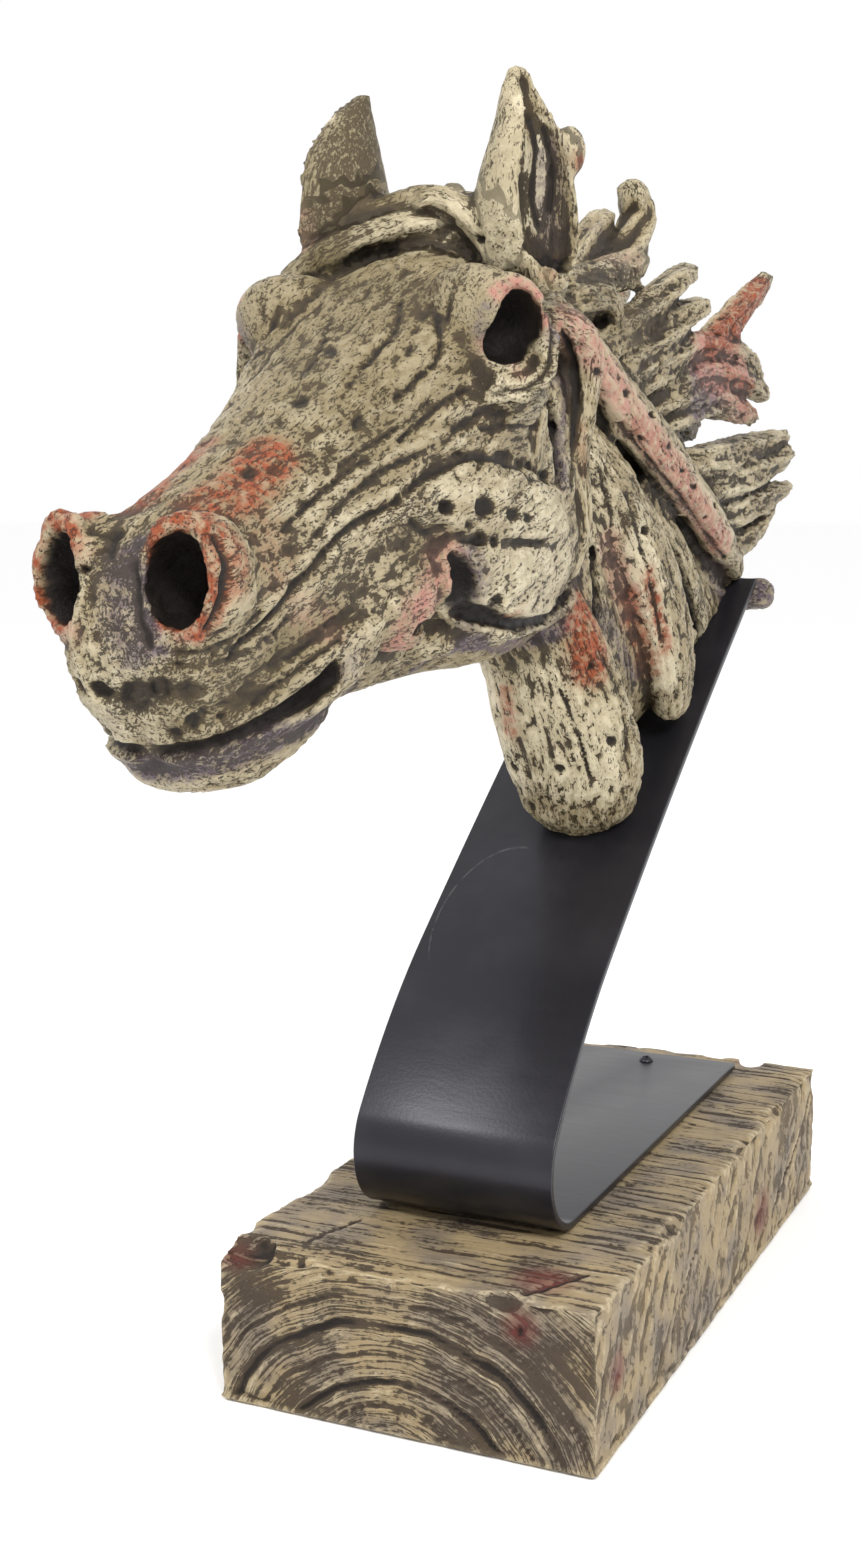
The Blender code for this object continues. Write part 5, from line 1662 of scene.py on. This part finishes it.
def resin_finish(settings):
    """Cream resin with umber in its grain, washes of orange, pink and violet grey, and painted shade
    in its creases and holes.
    """
    made = Finish("bone_resin", 0.4)
    made.shader.inputs["Specular IOR Level"].default_value = 0.36
    place = made.place()
    grain = made.vector("grain")
    # patterns that run along the grain, then patterns in space
    chip = made.noise(made.stretched(grain, (0.80, 0.30, 0.80)), 1.0, 8.0, 0.74)
    fleck = made.noise(made.stretched(grain, (1.9, 0.6, 1.9)), 1.0, 4.0, 0.68)
    fibre = made.noise(made.stretched(grain, (1.0, 0.07, 1.0)), 1.0, 3.0, 0.6)
    cloud = made.noise(place, 42.0, 3.0, 0.5)
    broad = made.noise(place, 17.0, 2.0, 0.5)
    tint = made.noise(place, 300.0, 4.0, 0.6)
    groove = made.number("groove")
    cuts = made.number("cuts")
    shade = made.number("shade")
    depth = made.number("depth")
    light = made.number("light")
    olive = made.number("olive")
    # umber lies where the skin is worn, low, or crossed by the grain
    low = groove.above(-0.05, 0.45)
    vein = made.noise(made.stretched(grain, (0.45, 0.04, 0.45)), 1.0, 4.0, 0.6)
    crack = (1.0 - made.node("Math", {"operation": "ABSOLUTE"}, {0: vein - 0.5}) * 40.0).limited()
    paint = (made.number("pink") + made.number("violet") * 0.6).limited()
    tone = (chip * 1.3 + fleck * 0.9 + fibre * 0.6 + made.number("worn") * 0.07
            + cuts * 0.18 + low * 0.36 + made.number("dark") * 0.10
            + cloud * 0.3 + broad * 0.12 + crack * 0.07 - light * 0.06 - paint * 0.05)
    dark = tone.above(*UMBER_STEP)
    faint = tone.above(*FAINT_UMBER_STEP)
    # bare resin, toned down or rubbed light
    toned = (olive * 0.8 + cloud.above(0.42, 0.7) * 0.4).limited()
    cream = made.blend(settings.cream, settings.olive, toned)
    rubbed = (light * (0.15 + tint * 0.8)
              + (0.0 - groove).above(0.12, 0.6) * tint * (0.9 - olive * 0.7)).limited()
    cream = made.blend(cream, settings.pale, rubbed)
    fading = (olive * 0.8 + tint.above(0.4, 0.7) * 0.4).limited()
    umber = made.blend(settings.umber, settings.faded, fading)
    # washes lie on the bare resin and darken the umber
    for channel, colour in (("violet", settings.violet), ("pink", settings.pink),
                            ("orange", settings.orange)):
        weight = made.number(channel)
        broken = (weight * tint.above(0.34, 0.62) * (0.5 + cloud * 0.6)
                  + weight.above(0.4, 1.0) * 0.22).limited()
        cream = made.blend(cream, colour, broken)
        deep_colour = tuple(WASHED_UMBER * value for value in colour)
        umber = made.blend(umber, deep_colour, weight * 0.6)
    colour = made.blend(cream, umber, (dark * 0.80 + faint * 0.16).limited())
    # painted shade under overhangs and in deep creases, a dark wash in the furrows, and painted
    # shade deep in the holes
    shade_and_wash = (shade.above(0.44, 0.94) * 0.8 + cuts.above(0.30, 0.95) * 0.65
             + made.number("dark").above(1.9, 2.7) + groove.above(0.22, 0.65) * 0.6).limited()
    colour = made.blend(colour, settings.shade_and_wash, shade_and_wash * 0.92)
    # painted shade deep in the holes, by how far a point lies inside the uncut skin
    deep = depth.above(1.2, 5.0)
    colour = made.blend(colour, settings.hole_shade, deep * 0.97)
    made.drive("Base Color", colour)
    made.drive("Roughness", 0.32 + dark * 0.12 - deep * 0.04 + fleck * 0.14)
    relief = fleck * 0.4 + fibre * 0.5 + chip * 0.6 - dark * 0.4
    made.drive("Normal", made.bump(relief, 0.0011, 1.0))
    return made.material


# Spots of colour on the block: where they lie and their reach, in metres
STAINS = (
    (0.047, -0.136, 0.062, 0.017), (0.046, -0.158, 0.050, 0.010), (-0.068, -0.152, 0.058, 0.012),
    (0.042, 0.150, 0.058, 0.010), (-0.040, 0.156, 0.060, 0.009), (0.075, 0.060, 0.020, 0.018),
    (0.075, -0.135, 0.030, 0.012),
)
DARK_PATCHES = (
    (-0.058, -0.158, 0.053, 0.020), (0.062, -0.158, 0.034, 0.020), (-0.040, -0.158, 0.006, 0.014),
    (0.030, -0.158, 0.004, 0.018), (0.070, 0.120, 0.060, 0.020), (-0.070, -0.060, 0.060, 0.022),
    (0.075, 0.100, 0.050, 0.022),
)


def timber_finish(settings):
    """Sawn timber: cream, brown and grey, with dark rings, saw marks, red stains and painted shade
    in its hollows.
    """
    made = Finish("cast_timber", 0.6)
    made.shader.inputs["Specular IOR Level"].default_value = 0.35
    place = made.place()
    groove = made.number("groove")
    hollow = made.number("hollow")
    ends = made.number("ends")
    tops = made.number("tops")
    rings = made.vector("rings")
    # rings on the ends, saw marks across the top, streaks on the sides
    lines = made.noise(made.stretched(rings, (0.95, 0.06, 0.02)), 1.0, 6.0, 0.74, 0.3)
    rays = made.noise(made.stretched(rings, (0.24, 0.34, 0.02)), 1.0, 7.0, 0.74, 0.6)
    saw = made.noise(made.stretched(place, (22.0, 300.0, 60.0)), 1.0, 7.0, 0.72, 0.4)
    bark = made.noise(made.stretched(place, (200.0, 170.0, 105.0)), 1.0, 8.0, 0.72, 0.8)
    cloud = made.noise(place, 36.0, 3.0, 0.55)
    dust = made.noise(place, 500.0, 4.0, 0.65)
    side = (1.0 - ends - tops).limited()
    pattern = ends * (lines * 1.05 + rays * 0.2 - 0.09) + tops * saw + side * bark
    tone = (pattern * 1.5 + dust * 0.5 + made.number("worn") * 0.22
            + groove.above(0.0, 0.4) * 0.3 + cloud * (0.4 - ends * 0.15) + ends * 0.09
            + soft_spots(made, place, DARK_PATCHES) * 0.14)
    dark = tone.above(*BROWN_STEP)
    faint = tone.above(*FAINT_BROWN_STEP)
    base = made.blend(settings.cream, settings.grey, (cloud.above(0.38, 0.64) * 0.75).limited())
    base = made.blend(base, settings.pale,
                      ((0.0 - groove).above(0.06, 0.35) * dust.above(0.35, 0.6) * 0.7).limited())
    worn = (dark * 0.66 + faint * 0.26) * (1.0 - side * 0.35)
    colour = made.blend(base, settings.brown, worn.limited())
    stain = soft_spots(made, place, STAINS)
    colour = made.blend(colour, settings.stain, (stain * (0.35 + dust * 0.8)).limited())
    # painted shade in the broad hollows, with dark wash in the creases, cracks and rings
    shade_and_wash = (hollow.above(0.4, 1.6) * 0.8 + groove.above(0.15, 0.55) * 0.6
             + made.number("worn").above(0.55, 1.0) * 0.45).limited()
    colour = made.blend(colour, settings.shade_and_wash, shade_and_wash * 0.9)
    made.drive("Base Color", colour)
    made.drive("Roughness", 0.52 + dark * 0.16)
    relief = pattern * 0.7 + dust * 0.3 - dark * 0.4
    made.drive("Normal", made.bump(relief, 0.0015, 1.0))
    return made.material


def soft_spots(made, place, spots):
    """1 at each place (x, y, z, reach), softly down to 0 around it."""
    total = 0.0
    for x, y, z, reach in spots:
        gap = made.node("VectorMath", {"operation": "DISTANCE"}, {0: place, 1: (x, y, z)}, "Value")
        total = (1.0 - (gap / reach).above(0.2, 1.0)) + total
    return total.limited()


# The arc scratched into the strap's front, in metres
SCRATCH_MIDDLE = (-0.013, 0.0, 0.164)
SCRATCH_RADIUS = 0.024
SCRATCH_HALF_WIDTH = 0.0005
SCRATCH_RIGHT_END = -0.010
SCRATCH_LOWEST = 0.148


def scratch(made, place):
    """1 on the arc scratched into the strap's front, broken up along it."""
    across = made.node("SeparateXYZ", {}, {"Vector": place}, "X")
    up = made.node("SeparateXYZ", {}, {"Vector": place}, "Z")
    facing = made.node("SeparateXYZ", {}, {"Vector": made.node("TexCoord", {}, {}, "Normal")}, "Y")
    from_middle = made.node("VectorMath", {"operation": "DISTANCE"},
                            {0: made.stretched(place, (1.0, 0.0, 1.0)), 1: SCRATCH_MIDDLE}, "Value")
    off = made.node("Math", {"operation": "ABSOLUTE"}, {0: from_middle - SCRATCH_RADIUS})
    line = (1.0 - off / SCRATCH_HALF_WIDTH).limited()
    stretch = (SCRATCH_RIGHT_END - across).above(0.0, 0.004) * up.above(SCRATCH_LOWEST, 0.156)
    breaks = made.noise(place, 160.0, 4.0, 0.7).above(0.36, 0.60)
    return (line * stretch * breaks * (0.0 - facing).above(0.2, 0.4)).limited()


def steel_finish(name, colour, bare, roughness, metallic):
    """Satin blackened steel with faint scuffs and one scratch."""
    made = Finish(name, roughness)
    made.drive("Metallic", metallic)
    place = made.place()
    cloud = made.noise(place, 26.0, 3.0, 0.5)
    rub = made.noise(made.stretched(place, (40.0, 260.0, 260.0)), 1.0, 4.0, 0.65)
    spots = made.noise(place, 1400.0, 2.0, 0.5).above(0.68, 0.75)
    lighter = tuple(min(1.0, value * 1.7 + 0.01) for value in colour)
    tint = made.blend(colour, lighter, (cloud.above(0.4, 0.7) * 0.35 + spots * 0.25).limited())
    scratched = scratch(made, place)
    made.drive("Base Color", made.blend(tint, bare, scratched * 0.55))
    made.drive("Roughness", roughness - 0.06 + cloud * 0.08 + rub * 0.08 + scratched * 0.1)
    made.drive("Normal", made.bump(rub + made.noise(place, 700.0, 2.0), 0.00006, 0.6))
    return made.material


# Operators


SENSOR_HEIGHT = 36.0         # millimetres, as the camera's data take it
FLOOR_RADIUS = 25.0
FLOOR_DROP = 0.0005          # keeps the floor clear of the block's underside
LAMP_AIM = Vector((0.0, 0.0, 0.22))
LAMPS = (
    # name, place, width and height, then the setting that holds its power
    ("key_light", (0.9, -1.1, 1.3), 0.55, 0.55, "key_power"),
    ("front_light", (-0.74, -1.10, 1.42), 0.70, 0.24, "front_power"),
)


class SCULPTURE_OT_stage(bpy.types.Operator):
    """Sets the floor, the lights and the camera"""
    bl_idname = "sculpture.stage"
    bl_label = "Set the stage"

    def execute(self, context):
        settings = context.scene.sculpture_stage
        scene = context.scene
        self.camera(scene)
        self.floor(scene, settings)
        for name, place, wide, high, power in LAMPS:
            self.lamp(scene, name, Vector(place), (wide, high), getattr(settings, power))
        self.surround(scene, settings)
        scene.view_settings.view_transform = "Standard"
        return {"FINISHED"}

    def camera(self, scene):
        data = bpy.data.cameras.new("camera")
        data.sensor_fit = "VERTICAL"
        data.sensor_height = SENSOR_HEIGHT
        data.lens = PHOTO_FOCAL / PHOTO_HEIGHT * SENSOR_HEIGHT
        data.clip_start = 0.05
        data.clip_end = 30.0
        camera = bpy.data.objects.new("camera", data)
        camera.location = CAMERA_PLACE
        camera.rotation_euler = camera_turn()
        scene.collection.objects.link(camera)
        scene.camera = camera

    def floor(self, scene, settings):
        """A wide level floor that ends far behind the sculpture."""
        bm = bmesh.new()
        bmesh.ops.create_circle(bm, cap_ends=True, segments=96, radius=FLOOR_RADIUS)
        mesh = mesh_from(bm, "floor")
        if mesh.polygons[0].normal.z < 0:
            mesh.flip_normals()
        finish = Finish("pale_floor", 0.9)
        finish.drive("Base Color", tuple(settings.floor))
        mesh.materials.append(finish.material)
        floor = bpy.data.objects.new("floor", mesh)
        floor.location.z = -FLOOR_DROP
        scene.collection.objects.link(floor)

    def lamp(self, scene, name, place, size, power):
        """A soft oval light that looks at the middle of the sculpture."""
        data = bpy.data.lights.new(name, "AREA")
        data.shape = "ELLIPSE"
        data.size, data.size_y = size
        data.energy = power
        lamp = bpy.data.objects.new(name, data)
        lamp.location = place
        lamp.rotation_euler = (LAMP_AIM - place).to_track_quat("-Z", "Y").to_euler()
        scene.collection.objects.link(lamp)

    def surround(self, scene, settings):
        """Even white light from all round."""
        world = bpy.data.worlds.new("studio")
        world.use_nodes = True
        light = world.node_tree.nodes["Background"]
        light.inputs["Color"].default_value = (1.0, 1.0, 1.0, 1.0)
        light.inputs["Strength"].default_value = settings.surround
        scene.world = world


class SCULPTURE_OT_block(bpy.types.Operator):
    """Casts and paints the timber block"""
    bl_idname = "sculpture.block"
    bl_label = "Cast the block"

    def execute(self, context):
        settings = context.scene.sculpture_block
        mesh = cast_block(settings)
        mesh.shade_smooth()
        dress(mesh, "timber_block", "cast_timber", timber_finish(settings), ["base_block"])
        return {"FINISHED"}


class SCULPTURE_OT_steel(bpy.types.Operator):
    """Bends the strap and drives its screw"""
    bl_idname = "sculpture.steel"
    bl_label = "Bend the strap"

    def execute(self, context):
        settings = context.scene.sculpture_steel
        for mesh, name, slot, colour, roughness, metallic, node in (
            (build_strap(settings), "steel_strap", "dark_steel", settings.colour, 0.30, 0.55,
             "stand_strap"),
            (build_screw(), "wood_screw", "screw_steel", settings.screw, 0.36, 0.8, "strap_screw"),
        ):
            mesh.shade_smooth()
            mesh.set_sharp_from_angle(angle=math.radians(40))
            finish = steel_finish(slot, tuple(colour), settings.scratch, roughness, metallic)
            dress(mesh, name, slot, finish, [node])
        return {"FINISHED"}


class SCULPTURE_OT_head(bpy.types.Operator):
    """Casts, carves and paints the horse head"""
    bl_idname = "sculpture.head"
    bl_label = "Cast the head"

    def execute(self, context):
        settings = context.scene.sculpture_head
        mesh = cast_head(settings)
        mesh.shade_smooth()
        dress(mesh, "resin_head", "bone_resin", resin_finish(settings), ["horse_head"])
        return {"FINISHED"}


class SCULPTURE_PT_panel(bpy.types.Panel):
    """Lists the steps and their settings"""
    bl_idname = "SCULPTURE_PT_panel"
    bl_label = "Horse Head"
    bl_space_type = "VIEW_3D"
    bl_region_type = "UI"
    bl_category = "Horse Head"

    def draw(self, context):
        for operator, group in STEPS:
            box = self.layout.box()
            box.operator(operator.bl_idname)
            settings = getattr(context.scene, group)
            for name in settings.__annotations__:
                box.prop(settings, name)


SETTINGS = {
    "sculpture_stage": StageSettings,
    "sculpture_block": BlockSettings,
    "sculpture_steel": SteelSettings,
    "sculpture_head": HeadSettings,
}
STEPS = (
    (SCULPTURE_OT_stage, "sculpture_stage"),
    (SCULPTURE_OT_block, "sculpture_block"),
    (SCULPTURE_OT_steel, "sculpture_steel"),
    (SCULPTURE_OT_head, "sculpture_head"),
)


def register():
    for name, group in SETTINGS.items():
        bpy.utils.register_class(group)
        setattr(bpy.types.Scene, name, PointerProperty(type=group))
    for operator, _ in STEPS:
        bpy.utils.register_class(operator)
    bpy.utils.register_class(SCULPTURE_PT_panel)


def unregister():
    bpy.utils.unregister_class(SCULPTURE_PT_panel)
    for operator, _ in reversed(STEPS):
        bpy.utils.unregister_class(operator)
    for name, group in SETTINGS.items():
        delattr(bpy.types.Scene, name)
        bpy.utils.unregister_class(group)


def main():
    register()
    bpy.ops.sculpture.stage()
    bpy.ops.sculpture.block()
    bpy.ops.sculpture.steel()
    bpy.ops.sculpture.head()


if __name__ == "__main__":
    main()
